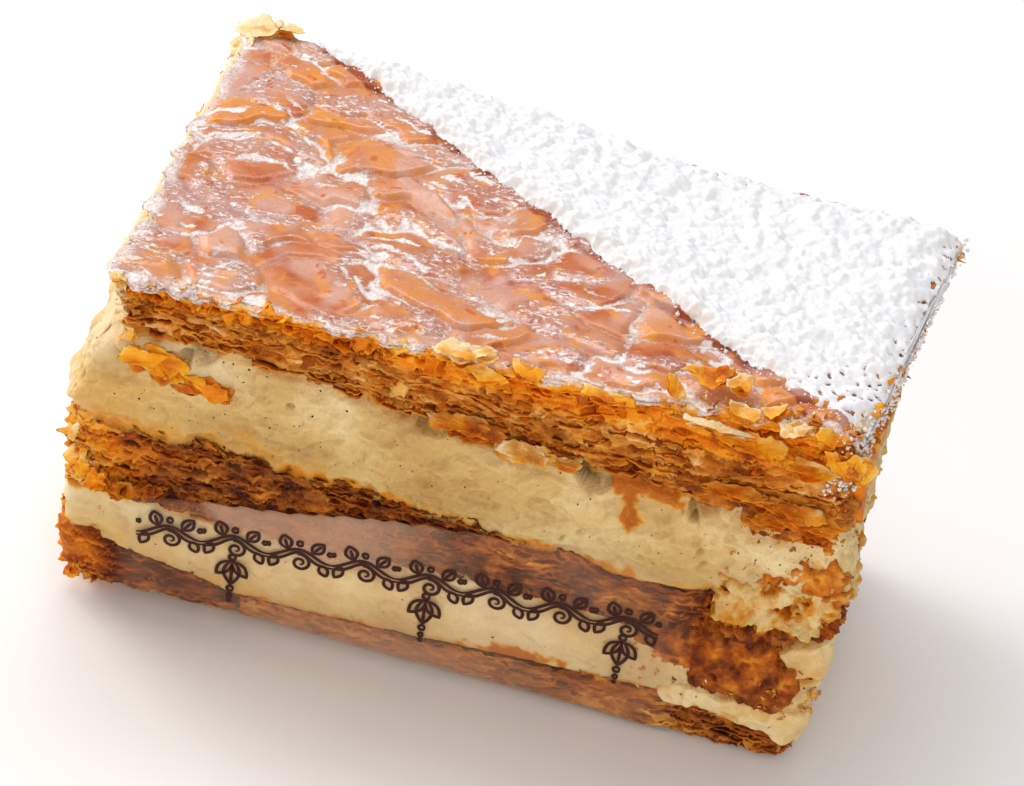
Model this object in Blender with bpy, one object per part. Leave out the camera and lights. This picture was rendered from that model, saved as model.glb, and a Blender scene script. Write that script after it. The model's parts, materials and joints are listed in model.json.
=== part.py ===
"""A slice of mille-feuille: three slabs of puff pastry and two layers of vanilla cream, with
icing sugar over one diagonal half of the top and a clear film folded up its long sides.

Metres, +Z up. X runs along the slice and -Y is its front. The layers are laid out about a
point near their middle, then all are moved so that the middle of the underside of their box is
the origin.
"""

import math

import bmesh
import bpy
from mathutils import Matrix, Vector, noise

MM = 0.001

# Plan of the slice at each level, bottom to top: front left, front right, back right, back left.
# The cut is skewed and the slabs have slipped over each other a little.
LEVEL_CORNERS = [
    [(-56.0, -30.5), (48.3, -35.6), (51.8, 13.4), (-54.0, 28.2)],
    [(-56.8, -32.0), (49.0, -36.0), (52.2, 15.0), (-55.2, 29.8)],
    [(-57.6, -32.4), (49.8, -35.6), (52.8, 15.8), (-56.4, 31.2)],
    [(-56.2, -32.6), (50.4, -34.4), (53.6, 16.6), (-55.0, 32.0)],
    [(-50.4, -31.8), (48.0, -32.2), (55.6, 16.8), (-50.4, 32.8)],
    [(-53.0, -32.8), (47.2, -32.8), (59.6, 16.8), (-50.4, 34.6)],
]
# Height of each level at five equal steps from the left end to the right end of the front.
LEVEL_HEIGHTS = [
    [0.7, 0.7, 0.7, 0.7, 0.7],
    [6.8, 6.5, 6.9, 7.9, 8.2],
    [20.0, 18.4, 18.8, 18.0, 15.8],
    [33.0, 31.0, 28.8, 26.4, 28.4],
    [48.4, 45.6, 42.2, 40.4, 40.2],
    [56.0, 55.2, 54.4, 54.2, 55.4],
]
LEVEL_BACK_RISE = [0.0, 0.2, 0.6, 0.8, 2.4, 3.2]  # how much higher each level is at the back
LEVEL_WAVE = [0.0, 0.25, 0.4, 0.4, 0.4, 0.3]  # height of the unevenness of each level
WAVE_LENGTH = 17 * MM

LEFT_X = -53 * MM
RIGHT_X = 50 * MM
FRONT_Y = -32.8 * MM
BACK_Y = 33.8 * MM

GAP = 0.4 * MM  # between two layers
CORNER_RADIUS = 3.2 * MM
CORNER_STEPS = 3
LONG_EDGE_STEPS = 17
SHORT_EDGE_STEPS = 9
EDGE_WANDER = 0.7 * MM  # how far a cut edge strays from a straight line
EDGE_WANDER_LENGTH = 9 * MM
INNER_RINGS = (0.88, 0.5)  # of each flat face, as shares of its outline

LEAF_REACH = 1.1 * MM  # how far the lips of a pastry's leaves stand out
LEAF_GROOVE = 0.5 * MM
LEAF_RAGGED_LENGTH = 7 * MM
CREAM_END_BULGE = 2.2 * MM  # more, at the left end of the upper layer
CREAM_LUMP = 0.5 * MM
CREAM_LUMP_LENGTH = 11 * MM
CREAM_END_LENGTH = 9 * MM
CREAM_STEPS = 6

FILM_THICKNESS = 0.4 * MM
FILM_LEFT = -49 * MM
FILM_RIGHT = 33.2 * MM
# In mm, at equal steps from the film's left end to its right end: the inner sides of its front
# and back walls, their upper edges, and the radius of the folds under them.
FILM_FRONT_Y = [-33.1, -33.1, -33.8, -34.7, -35.9]
FILM_BACK_Y = [31.4, 19.6]
FILM_FRONT_TOP = [20.8, 23.2, 26.8, 28.4, 29.2]
FILM_BACK_TOP = [27.0, 25.0]
FILM_FOLD_RADIUS = [6.0, 5.1, 3.6, 2.6, 1.4]
FILM_FOLD_STEPS = 5
FILM_STATIONS = 12
FILM_CLEARANCE = 0.35 * MM
FREE_END = 7 * MM  # the slice's side is free of the film from this far past its right end
FREE_HEIGHT = 31 * MM  # and above this height

SUGAR_GAP = 0.8 * MM  # clears the facets of the uneven top
SUGAR_THICKNESS = 1.3 * MM
SUGAR_EDGE = 0.8 * MM  # its height at the rim
SUGAR_GRAIN = 0.25 * MM
SUGAR_GRAIN_LENGTH = 6 * MM
SUGAR_INSET = 0.6 * MM
SUGAR_LINE = ((-40.5 * MM, 33.5 * MM), (46.4 * MM, -32.2 * MM))  # the stencil's edge
SUGAR_LINE_STEPS = 12
SUGAR_RINGS = (0.9, 0.6, 0.3)

# Linear red, green and blue, then roughness.
PASTRY = (0.48, 0.19, 0.045, 0.72)
GLAZED_PASTRY = (0.55, 0.24, 0.09, 0.35)
CREAM = (0.80, 0.63, 0.33, 0.5)
SUGAR = (0.90, 0.90, 0.89, 0.95)
CLEAR_FILM = (0.93, 0.93, 0.93, 0.08)
FILM_OPACITY = 0.3


def clear_scene():
    for obj in list(bpy.data.objects):
        bpy.data.objects.remove(obj, do_unlink=True)


def make_material(name, look, opacity=1.0):
    made = bpy.data.materials.new(name)
    made.use_nodes = True
    shader = made.node_tree.nodes["Principled BSDF"]
    shader.inputs["Base Color"].default_value = (*look[:3], 1.0)
    shader.inputs["Roughness"].default_value = look[3]
    shader.inputs["Metallic"].default_value = 0.0
    shader.inputs["Alpha"].default_value = opacity
    return made


def mix(a, b, share):
    return a + (b - a) * share


def clamp01(value):
    return min(1.0, max(0.0, value))


def ripple(x, y, length, seed):
    """Smooth unevenness from -1 to 1, over bumps of about the given length."""
    return noise.noise(Vector((x / length, y / length, seed * 7.31)))


def along(values, share):
    """A smooth curve through equally spaced values in mm, at a share of its way from 0 to 1."""
    place = clamp01(share) * (len(values) - 1)
    i = min(int(place), len(values) - 2)
    t = place - i
    a, b = values[i], values[i + 1]
    before = values[i - 1] if i > 0 else 2 * a - b
    after = values[i + 2] if i + 2 < len(values) else 2 * b - a
    square = 2 * before - 5 * a + 4 * b - after
    cube = 3 * (a - b) + after - before
    return (a + 0.5 * t * (b - before + t * (square + t * cube))) * MM


def height(level, x, y):
    """Height of the surface between two layers, or of the bottom or the top."""
    share = clamp01((x - LEFT_X) / (RIGHT_X - LEFT_X))
    back = clamp01((y - FRONT_Y) / (BACK_Y - FRONT_Y))
    rise = LEVEL_BACK_RISE[level] * MM * back
    wave = LEVEL_WAVE[level] * MM * ripple(x, y, WAVE_LENGTH, level)
    return along(LEVEL_HEIGHTS[level], share) + rise + wave


def rounded_corner(before, corner, after, radius):
    """Points of a curve that starts and ends at the radius from a corner."""
    start = corner + (before - corner).normalized() * radius
    end = corner + (after - corner).normalized() * radius
    points = []
    for i in range(CORNER_STEPS + 1):
        t = i / CORNER_STEPS
        points.append(start * (1 - t) ** 2 + corner * 2 * t * (1 - t) + end * t**2)
    return points


def outline(level):
    """Plan of the slice at a level, anticlockwise, the same number of points at every level."""
    corners = [Vector((x * MM, y * MM)) for x, y in LEVEL_CORNERS[level]]
    points = []
    for i, corner in enumerate(corners):
        after = corners[(i + 1) % 4]
        arc = rounded_corner(corners[i - 1], corner, after, CORNER_RADIUS)
        following = rounded_corner(corner, after, corners[(i + 2) % 4], CORNER_RADIUS)
        steps = LONG_EDGE_STEPS if i % 2 == 0 else SHORT_EDGE_STEPS
        points += arc
        points += [arc[-1].lerp(following[0], k / steps) for k in range(1, steps)]
    return wandered(points, level)


def outward(points):
    """Unit normals of a closed outline."""
    found = []
    for i, point in enumerate(points):
        run = (points[(i + 1) % len(points)] - points[i - 1]).normalized()
        found.append(Vector((run.y, -run.x)))
    return found


def wandered(points, level):
    """The outline with its straight edges made a little uneven."""
    return [
        point + normal * EDGE_WANDER * ripple(point.x, point.y, EDGE_WANDER_LENGTH, 20 + level)
        for point, normal in zip(points, outward(points))
    ]


def film_share(x):
    return (x - FILM_LEFT) / (FILM_RIGHT - FILM_LEFT)


def film_front_y(x):
    return along(FILM_FRONT_Y, film_share(x))


def film_back_y(x):
    return along(FILM_BACK_Y, film_share(x))


def film_fold_radius(x):
    return along(FILM_FOLD_RADIUS, film_share(x))


def kept_in_film(x, y, z):
    """y of a point of the slice's side, pressed flat where the film would be in its way."""
    if x > FILM_RIGHT + FREE_END or z > FREE_HEIGHT:
        return y
    reach = film_fold_radius(x) - FILM_CLEARANCE
    drop = min(reach, max(0.0, FILM_THICKNESS + film_fold_radius(x) - z))
    inset = FILM_CLEARANCE + reach - math.sqrt(reach**2 - drop**2)
    return min(max(y, film_front_y(x) + inset), film_back_y(x) - inset)


def leaf_profile(leaves, seed):
    """Profile of a pastry's side: for each leaf a lip, then a groove above it."""

    def offset(x, y, leaf, is_lip):
        ragged = ripple(x, y, LEAF_RAGGED_LENGTH, seed + 3 * leaf)
        if is_lip:
            return LEAF_REACH * (0.45 + 0.9 * ragged)
        return -LEAF_GROOVE * (0.7 + 0.6 * ragged)

    rings = []
    for leaf in range(leaves):
        rings.append(((leaf + 0.3) / leaves, leaf, True))
        if leaf < leaves - 1:
            rings.append(((leaf + 1.0) / leaves, leaf, False))
    return [(t, lambda x, y, a=leaf, b=lip: offset(x, y, a, b)) for t, leaf, lip in rings]


def belly_profile(bulge, end_bulge, seed):
    """Profile of a layer of cream, squeezed out between the pastries in soft lumps."""

    def offset(x, y, t):
        lumps = CREAM_LUMP * ripple(x + 2 * t * MM, y, CREAM_LUMP_LENGTH, seed)
        end = end_bulge * clamp01((LEFT_X + CREAM_END_LENGTH - x) / CREAM_END_LENGTH)
        belly = (bulge + lumps) * math.sin(math.pi * t) ** 0.6
        return belly + end * math.sin(math.pi * t**0.6)

    steps = [i / CREAM_STEPS for i in range(1, CREAM_STEPS)]
    return [(t, lambda x, y, t=t: offset(x, y, t)) for t in steps]


def join_rings(mesh, rings):
    """Bands of faces between closed rings that have the same number of vertices."""
    for lower, upper in zip(rings, rings[1:]):
        for i in range(len(lower)):
            j = (i + 1) % len(lower)
            mesh.faces.new([lower[i], lower[j], upper[j], upper[i]])


def add_sheet(mesh, edge, surface, shares):
    """Fills a ring of vertices with a sheet of rings and a fan, at the heights of a surface."""
    plan = [Vector((vertex.co.x, vertex.co.y)) for vertex in edge]
    middle = sum(plan, Vector((0, 0))) / len(plan)
    rings = [edge]
    for share in shares:
        inner = [middle.lerp(point, share) for point in plan]
        rings.append([mesh.verts.new((at.x, at.y, surface(at.x, at.y))) for at in inner])
    join_rings(mesh, rings)
    centre = mesh.verts.new((middle.x, middle.y, surface(middle.x, middle.y)))
    for i, vertex in enumerate(rings[-1]):
        mesh.faces.new([vertex, rings[-1][(i + 1) % len(edge)], centre])


def finish(mesh, name, material):
    """Makes the object of a mesh, with its faces pointing out."""
    bmesh.ops.triangulate(mesh, faces=mesh.faces[:])
    bmesh.ops.recalc_face_normals(mesh, faces=mesh.faces[:])
    data = bpy.data.meshes.new(name)
    mesh.to_mesh(data)
    mesh.free()
    data.materials.append(material)
    data.shade_smooth()
    data.set_sharp_from_angle(angle=math.radians(40))
    obj = bpy.data.objects.new(name, data)
    bpy.context.scene.collection.objects.link(obj)
    return obj


def make_layer(name, level, profile, look):
    """One layer, from a level up to the next, with its side shaped by a profile."""
    lower, upper = outline(level), outline(level + 1)
    low_gap = 0 if level == 0 else GAP / 2
    high_gap = 0 if level + 2 == len(LEVEL_CORNERS) else GAP / 2
    mesh = bmesh.new()
    rings = []
    for t, offset in [(0.0, None), *profile, (1.0, None)]:
        flat = [a.lerp(b, t) for a, b in zip(lower, upper)]
        ring = []
        for point, normal in zip(flat, outward(flat)):
            out = offset(point.x, point.y) if offset else 0.0
            x, y = point + normal * out
            bottom = height(level, x, y) + low_gap
            top = height(level + 1, x, y) - high_gap
            z = mix(bottom, top, t)
            ring.append(mesh.verts.new((x, kept_in_film(x, y, z), z)))
        rings.append(ring)
    join_rings(mesh, rings)
    add_sheet(mesh, rings[0], lambda x, y: height(level, x, y) + low_gap, INNER_RINGS)
    add_sheet(mesh, rings[-1], lambda x, y: height(level + 1, x, y) - high_gap, INNER_RINGS)
    return finish(mesh, name, make_material(name, look))


def film_section(x, out):
    """The film across the slice, from its front edge to its back edge, offset outwards."""
    radius = film_fold_radius(x) + out
    fold = []
    for i in range(FILM_FOLD_STEPS + 1):
        turn = math.pi / 2 * i / FILM_FOLD_STEPS
        fold.append((radius * (1 - math.cos(turn)), radius * (1 - math.sin(turn))))
    front_y = film_front_y(x) - out
    back_y = film_back_y(x) + out
    floor = FILM_THICKNESS - out
    front = [(front_y + inset, floor + rise) for inset, rise in fold]
    back = [(back_y - inset, floor + rise) for inset, rise in reversed(fold)]
    front_edge = (front_y, along(FILM_FRONT_TOP, film_share(x)))
    back_edge = (back_y, along(FILM_BACK_TOP, film_share(x)))
    return [front_edge, *front, *back, back_edge]


def make_film():
    """The clear film: one sheet under the slice, folded up its front and its back."""
    mesh = bmesh.new()
    sections = []
    for i in range(FILM_STATIONS + 1):
        x = mix(FILM_LEFT, FILM_RIGHT, i / FILM_STATIONS)
        around = film_section(x, 0.0) + film_section(x, FILM_THICKNESS)[::-1]
        sections.append([mesh.verts.new((x, y, z)) for y, z in around])
    join_rings(mesh, sections)
    for ring in (sections[0], sections[-1]):
        for k in range(len(ring) // 2 - 1):
            mesh.faces.new([ring[k], ring[k + 1], ring[-2 - k], ring[-1 - k]])
    return finish(mesh, "film_wrap", make_material("film_wrap", CLEAR_FILM, FILM_OPACITY))


def sugar_outline():
    """Plan of the sugared half: the part of the top's outline beyond the stencil's line."""
    start, end = (Vector(point) for point in SUGAR_LINE)
    run = (end - start).normalized()
    beyond = Vector((-run.y, run.x))
    top = outline(len(LEVEL_CORNERS) - 1)
    plan = [point - normal * SUGAR_INSET for point, normal in zip(top, outward(top))]
    depth = [(point - start).dot(beyond) for point in plan]
    rim = [point for point, far in zip(plan, depth) if far > SUGAR_INSET]
    crossings = []
    for i, point in enumerate(plan):
        j = (i + 1) % len(plan)
        if (depth[i] > 0) != (depth[j] > 0):
            crossings.append(point.lerp(plan[j], depth[i] / (depth[i] - depth[j])))
    left, right = sorted(crossings, key=lambda point: point.x)
    line = [left.lerp(right, i / SUGAR_LINE_STEPS) for i in range(SUGAR_LINE_STEPS + 1)]
    return line + rim


def make_sugar():
    """The coat of icing sugar, a thin lumpy slab."""
    edge = sugar_outline()
    mesh = bmesh.new()

    def underside(x, y):
        return height(len(LEVEL_CORNERS) - 1, x, y) + SUGAR_GAP

    def crust(x, y):
        lumps = SUGAR_GRAIN * ripple(x, y, SUGAR_GRAIN_LENGTH, 50)
        return underside(x, y) + SUGAR_THICKNESS + lumps

    lower = [mesh.verts.new((p.x, p.y, underside(p.x, p.y))) for p in edge]
    upper = [mesh.verts.new((p.x, p.y, underside(p.x, p.y) + SUGAR_EDGE)) for p in edge]
    join_rings(mesh, [lower, upper])
    add_sheet(mesh, lower, underside, SUGAR_RINGS)
    add_sheet(mesh, upper, crust, SUGAR_RINGS)
    return finish(mesh, "icing_sugar", make_material("icing_sugar", SUGAR))


def stand_at_origin(pieces):
    """Moves the pieces so that the middle of their box's underside is the origin."""
    points = [vertex.co for piece in pieces for vertex in piece.data.vertices]
    low = Vector([min(point[axis] for point in points) for axis in range(3)])
    high = Vector([max(point[axis] for point in points) for axis in range(3)])
    shift = -0.5 * (low + high)
    shift.z = -low.z
    for piece in pieces:
        piece.data.transform(Matrix.Translation(shift))


def main():
    clear_scene()
    stand_at_origin([
        make_layer("pastry_bottom", 0, leaf_profile(3, 60), PASTRY),
        make_layer("cream_lower", 1, belly_profile(0.5 * MM, 0.0, 70), CREAM),
        make_layer("pastry_middle", 2, leaf_profile(4, 80), PASTRY),
        make_layer("cream_upper", 3, belly_profile(1.1 * MM, CREAM_END_BULGE, 90), CREAM),
        make_layer("pastry_top", 4, leaf_profile(5, 100), GLAZED_PASTRY),
        make_sugar(),
        make_film(),
    ])


main()
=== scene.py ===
# A slice of mille-feuille in its clear film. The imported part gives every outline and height;
# this script dresses it with leaves, cream, caramel, sugar, crumbs and print. Lengths are in mm.
import json
import math

import bmesh
import bpy
import numpy as np
from mathutils import Euler, Matrix, Vector
from mathutils.bvhtree import BVHTree

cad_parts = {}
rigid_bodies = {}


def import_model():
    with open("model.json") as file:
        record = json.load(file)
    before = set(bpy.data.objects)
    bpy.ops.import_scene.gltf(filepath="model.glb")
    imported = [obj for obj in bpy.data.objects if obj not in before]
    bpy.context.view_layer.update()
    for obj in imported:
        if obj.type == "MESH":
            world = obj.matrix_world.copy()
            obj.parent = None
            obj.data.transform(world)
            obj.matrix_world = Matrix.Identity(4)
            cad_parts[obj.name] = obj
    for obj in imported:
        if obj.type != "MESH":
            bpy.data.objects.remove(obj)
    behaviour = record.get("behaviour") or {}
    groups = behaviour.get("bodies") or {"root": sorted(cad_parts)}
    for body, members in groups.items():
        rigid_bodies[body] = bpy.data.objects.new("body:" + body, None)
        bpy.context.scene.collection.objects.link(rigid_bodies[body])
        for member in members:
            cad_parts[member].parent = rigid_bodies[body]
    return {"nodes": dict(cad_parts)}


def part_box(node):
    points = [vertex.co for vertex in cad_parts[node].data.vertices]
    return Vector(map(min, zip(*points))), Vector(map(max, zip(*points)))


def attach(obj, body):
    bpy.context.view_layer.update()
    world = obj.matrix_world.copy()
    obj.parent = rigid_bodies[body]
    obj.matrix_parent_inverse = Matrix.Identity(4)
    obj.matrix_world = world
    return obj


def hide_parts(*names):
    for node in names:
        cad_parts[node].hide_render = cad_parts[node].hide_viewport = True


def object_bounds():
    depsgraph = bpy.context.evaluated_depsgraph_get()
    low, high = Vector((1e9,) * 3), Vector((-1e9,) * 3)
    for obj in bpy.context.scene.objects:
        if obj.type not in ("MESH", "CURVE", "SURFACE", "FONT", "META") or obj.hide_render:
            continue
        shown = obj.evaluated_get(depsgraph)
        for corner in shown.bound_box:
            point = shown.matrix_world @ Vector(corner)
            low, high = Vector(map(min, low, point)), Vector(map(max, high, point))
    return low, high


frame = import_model()
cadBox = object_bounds()
scene = bpy.context.scene
mm = 0.001
trees = {}
for nodeName, nodeObject in frame["nodes"].items():
    nodeMesh = nodeObject.data
    trees[nodeName] = BVHTree.FromPolygons([v.co.copy() for v in nodeMesh.vertices],
                                           [tuple(p.vertices) for p in nodeMesh.polygons])
print("frame read:", ", ".join(sorted(trees)))


# noise and small number helpers

gradients = np.array([(1, 1, 0), (-1, 1, 0), (1, -1, 0), (-1, -1, 0), (1, 0, 1), (-1, 0, 1),
                      (1, 0, -1), (-1, 0, -1), (0, 1, 1), (0, -1, 1), (0, 1, -1), (0, -1, -1)],
                     float)


def scramble(x, y, z, seed):  # an even 32-bit number for each whole place
    h = (x * 73856093) ^ (y * 19349663) ^ (z * 83492791) ^ (seed * 2654435761)
    h = ((h ^ (h >> 15)) * 2246822519) & 0xFFFFFFFF
    h = ((h ^ (h >> 13)) * 3266489917) & 0xFFFFFFFF
    return h ^ (h >> 16)


def swell(points, size, seed=0):  # smooth noise, about -1 to 1, with bumps of this size
    p = np.asarray(points, float) / size
    cell = np.floor(p).astype(np.int64)
    f = p - cell
    w = f * f * f * (f * (f * 6 - 15) + 10)
    total = np.zeros(p.shape[:-1])
    for i in range(8):
        step = np.array((i & 1, i >> 1 & 1, i >> 2 & 1))
        c = cell + step
        g = gradients[scramble(c[..., 0], c[..., 1], c[..., 2], seed) % len(gradients)]
        weight = np.prod(np.where(step == 1, w, 1 - w), axis=-1)
        total += weight * (g * (f - step)).sum(-1)
    return total * 1.5


def rough(points, size, octaves, seed=0, gain=0.5):
    total, height = 0.0, 1.0
    for i in range(octaves):
        total = total + height * swell(points, size / 2 ** i, seed + 17 * i)
        height *= gain
    return total


def cells(points, size, seed=0):  # distances to the nearest two scattered points, and the first's number
    p = np.asarray(points, float) / size
    cell = np.floor(p).astype(np.int64)
    near = np.full(p.shape[:-1], 9.0)
    second = near.copy()
    number = np.zeros(p.shape[:-1])
    deep = (0,) if np.ptp(p[..., 2]) == 0 else (-1, 0, 1)
    most = 1023  # ten bits of the number for each axis
    for dx in (-1, 0, 1):
        for dy in (-1, 0, 1):
            for dz in deep:
                c = cell + (dx, dy, dz)
                h = scramble(c[..., 0], c[..., 1], c[..., 2], seed)
                spot = np.stack([h & most, h >> 10 & most, h >> 20 & most], -1) / float(most)
                if len(deep) == 1:
                    spot[..., 2] = p[..., 2] - c[..., 2]
                d = np.sqrt(((c + spot - p) ** 2).sum(-1))
                closer = d < near
                second = np.where(closer, near, np.minimum(second, d))
                number = np.where(closer, (h >> 5 & most) / float(most), number)
                near = np.where(closer, d, near)
    return near, second, number


def ease(a, b, x):
    t = np.clip((x - a) / (b - a), 0, 1)
    return t * t * (3 - 2 * t)


def blurred(values, sigma, axis=0):  # round a closed ring
    if sigma <= 0:
        return values
    reach = int(math.ceil(3 * sigma))
    weights = np.exp(-0.5 * (np.arange(-reach, reach + 1) / sigma) ** 2)
    weights /= weights.sum()
    return sum(w * np.roll(values, k, axis) for k, w in zip(range(-reach, reach + 1), weights))


def stacked(*parts):
    return np.stack(np.broadcast_arrays(*parts), -1)


def drift(points, size, seed):  # a soft sideways push
    return stacked(swell(points, size, seed), swell(points, size, seed + 1), 0.0)


def travelled(line):  # the distance walked to each point of a line
    return np.concatenate([[0], np.cumsum(np.linalg.norm(np.diff(line, axis=0), axis=1))])


def placed(line, travel, places):  # points of a line at these distances
    return stacked(np.interp(places, travel, line[:, 0]), np.interp(places, travel, line[:, 1]))


def outwardOf(ring):  # unit normals of an anticlockwise ring
    run = np.roll(ring, -1, 0) - np.roll(ring, 1, 0)
    return stacked(run[:, 1], -run[:, 0]) / np.linalg.norm(run, axis=1)[:, None]


def lookUp(table, u, v):  # a table's value between its cells
    u = np.clip(u, 0, table.shape[0] - 1.001)
    v = np.clip(v, 0, table.shape[1] - 1.001)
    i, k = u.astype(int), v.astype(int)
    s, t = u - i, v - k
    low = table[i, k] * (1 - s) + table[i + 1, k] * s
    high = table[i, k + 1] * (1 - s) + table[i + 1, k + 1] * s
    return low * (1 - t) + high * t


def linear(hexColour):  # an sRGB hex colour as Blender's linear red, green, blue and alpha
    made = []
    for i in (1, 3, 5):
        c = int(hexColour[i:i + 2], 16) / 255
        made.append(c / 12.92 if c <= 0.04045 else ((c + 0.055) / 1.055) ** 2.4)
    return (*made, 1.0)


# materials


def feed(tree, node, inputs):  # links a socket, and sets any other value
    for name, value in inputs.items():
        if isinstance(value, bpy.types.NodeSocket):
            tree.links.new(value, node.inputs[name])
        else:
            node.inputs[name].default_value = value


def addNode(tree, kind, inputs=None, **settings):
    node = tree.nodes.new(kind)
    for name, value in settings.items():
        setattr(node, name, value)
    feed(tree, node, inputs or {})
    return node


def newMaterial(name):
    made = bpy.data.materials.new(name)
    made.use_nodes = True
    tree = made.node_tree
    coords = addNode(tree, "ShaderNodeTexCoord").outputs["Object"]
    return made, tree, tree.nodes["Principled BSDF"], coords


def marked(tree, *names):  # the values that the meshes carry at each point
    return [addNode(tree, "ShaderNodeAttribute", attribute_name=name).outputs["Fac"]
            for name in names]


def ramp(tree, factor, stops):
    node = addNode(tree, "ShaderNodeValToRGB", {"Fac": factor})
    while len(node.color_ramp.elements) < len(stops):
        node.color_ramp.elements.new(0.5)
    for element, (place, colour) in zip(node.color_ramp.elements, stops):
        element.position = place
        element.color = linear(colour)
    return node.outputs["Color"]


def noiseFac(tree, vector, sizeMm, detail=3.0, roughness=0.55, distortion=0.0):
    return addNode(tree, "ShaderNodeTexNoise", {"Vector": vector, "Scale": 1 / (sizeMm * mm),
                                                "Detail": detail, "Roughness": roughness,
                                                "Distortion": distortion}).outputs["Fac"]


def stretched(tree, vector, scale):
    return addNode(tree, "ShaderNodeMapping", {"Vector": vector, "Scale": scale}).outputs["Vector"]


def mathNode(tree, operation, a, b=0.0, c=0.0, clamp=False):
    return addNode(tree, "ShaderNodeMath", {0: a, 1: b, 2: c}, operation=operation,
                   use_clamp=clamp).outputs[0]


def scaled(tree, value, factor, plus=0.0, clamp=False):
    return mathNode(tree, "MULTIPLY_ADD", value, factor, plus, clamp)


def ranged(tree, value, start=0.0, end=1.0, low=0.0, high=1.0, **settings):
    return addNode(tree, "ShaderNodeMapRange", {"Value": value, "From Min": start, "From Max": end,
                                                "To Min": low, "To Max": high},
                   **settings).outputs[0]


def mixColour(tree, factor, a, b):
    return addNode(tree, "ShaderNodeMix", {0: factor, 6: a, 7: linear(b) if isinstance(b, str) else b},
                   data_type="RGBA").outputs[2]


def bump(tree, height, distanceMm, strength):
    return addNode(tree, "ShaderNodeBump", {"Height": height, "Distance": distanceMm * mm,
                                            "Strength": strength}).outputs["Normal"]


def bakedPuffPastry(name, subsurface, grainDepth):
    # laminated butter dough, baked: matt crumbly leaves; the glow mark turns them a deeper orange,
    # partly the crust's own colour and partly a painted glow of light shining through thin leaves
    made, tree, shader, coords = newMaterial(name)
    tone, glow, dust = marked(tree, "tone", "glow", "dust")
    patches = noiseFac(tree, coords, 3.2, 4, 0.6)
    grit = noiseFac(tree, coords, 0.5, 3, 0.65)
    lines = noiseFac(tree, stretched(tree, coords, (1, 1, 5)), 1.2, 3, 0.6)
    value = scaled(tree, patches, 0.4, tone)
    value = scaled(tree, lines, 0.24, scaled(tree, grit, 0.24, value))
    value = mathNode(tree, "SUBTRACT", value, 0.38)
    toasted = ramp(tree, value, [(0.0, "#2c0e02"), (0.22, "#672f09"), (0.47, "#a65d1b"),
                                 (0.72, "#d89c46"), (0.97, "#f8dfb6")])
    thin = ramp(tree, value, [(0.0, "#742800"), (0.25, "#bd5600"), (0.5, "#ee8607"),
                              (0.76, "#feab16"), (1.0, "#ffc860")])
    glowing = scaled(tree, patches, 0.5, mathNode(tree, "SUBTRACT", glow, 0.25), True)
    powder = scaled(tree, grit, 2.0, scaled(tree, dust, 1.3, -1.5), True)
    colour = mixColour(tree, powder, mixColour(tree, glowing, toasted, thin), "#f4f1ee")
    feed(tree, shader, {
        "Base Color": colour, "Roughness": ranged(tree, patches, low=0.42, high=0.68),
        "Normal": bump(tree, scaled(tree, lines, 0.6, grit), grainDepth, 0.6),
        "Subsurface Weight": subsurface, "Subsurface Radius": (1.0, 0.45, 0.14),
        "Subsurface Scale": 0.5 * mm, "IOR": 1.46, "Specular IOR Level": 0.25})
    return made


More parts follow.
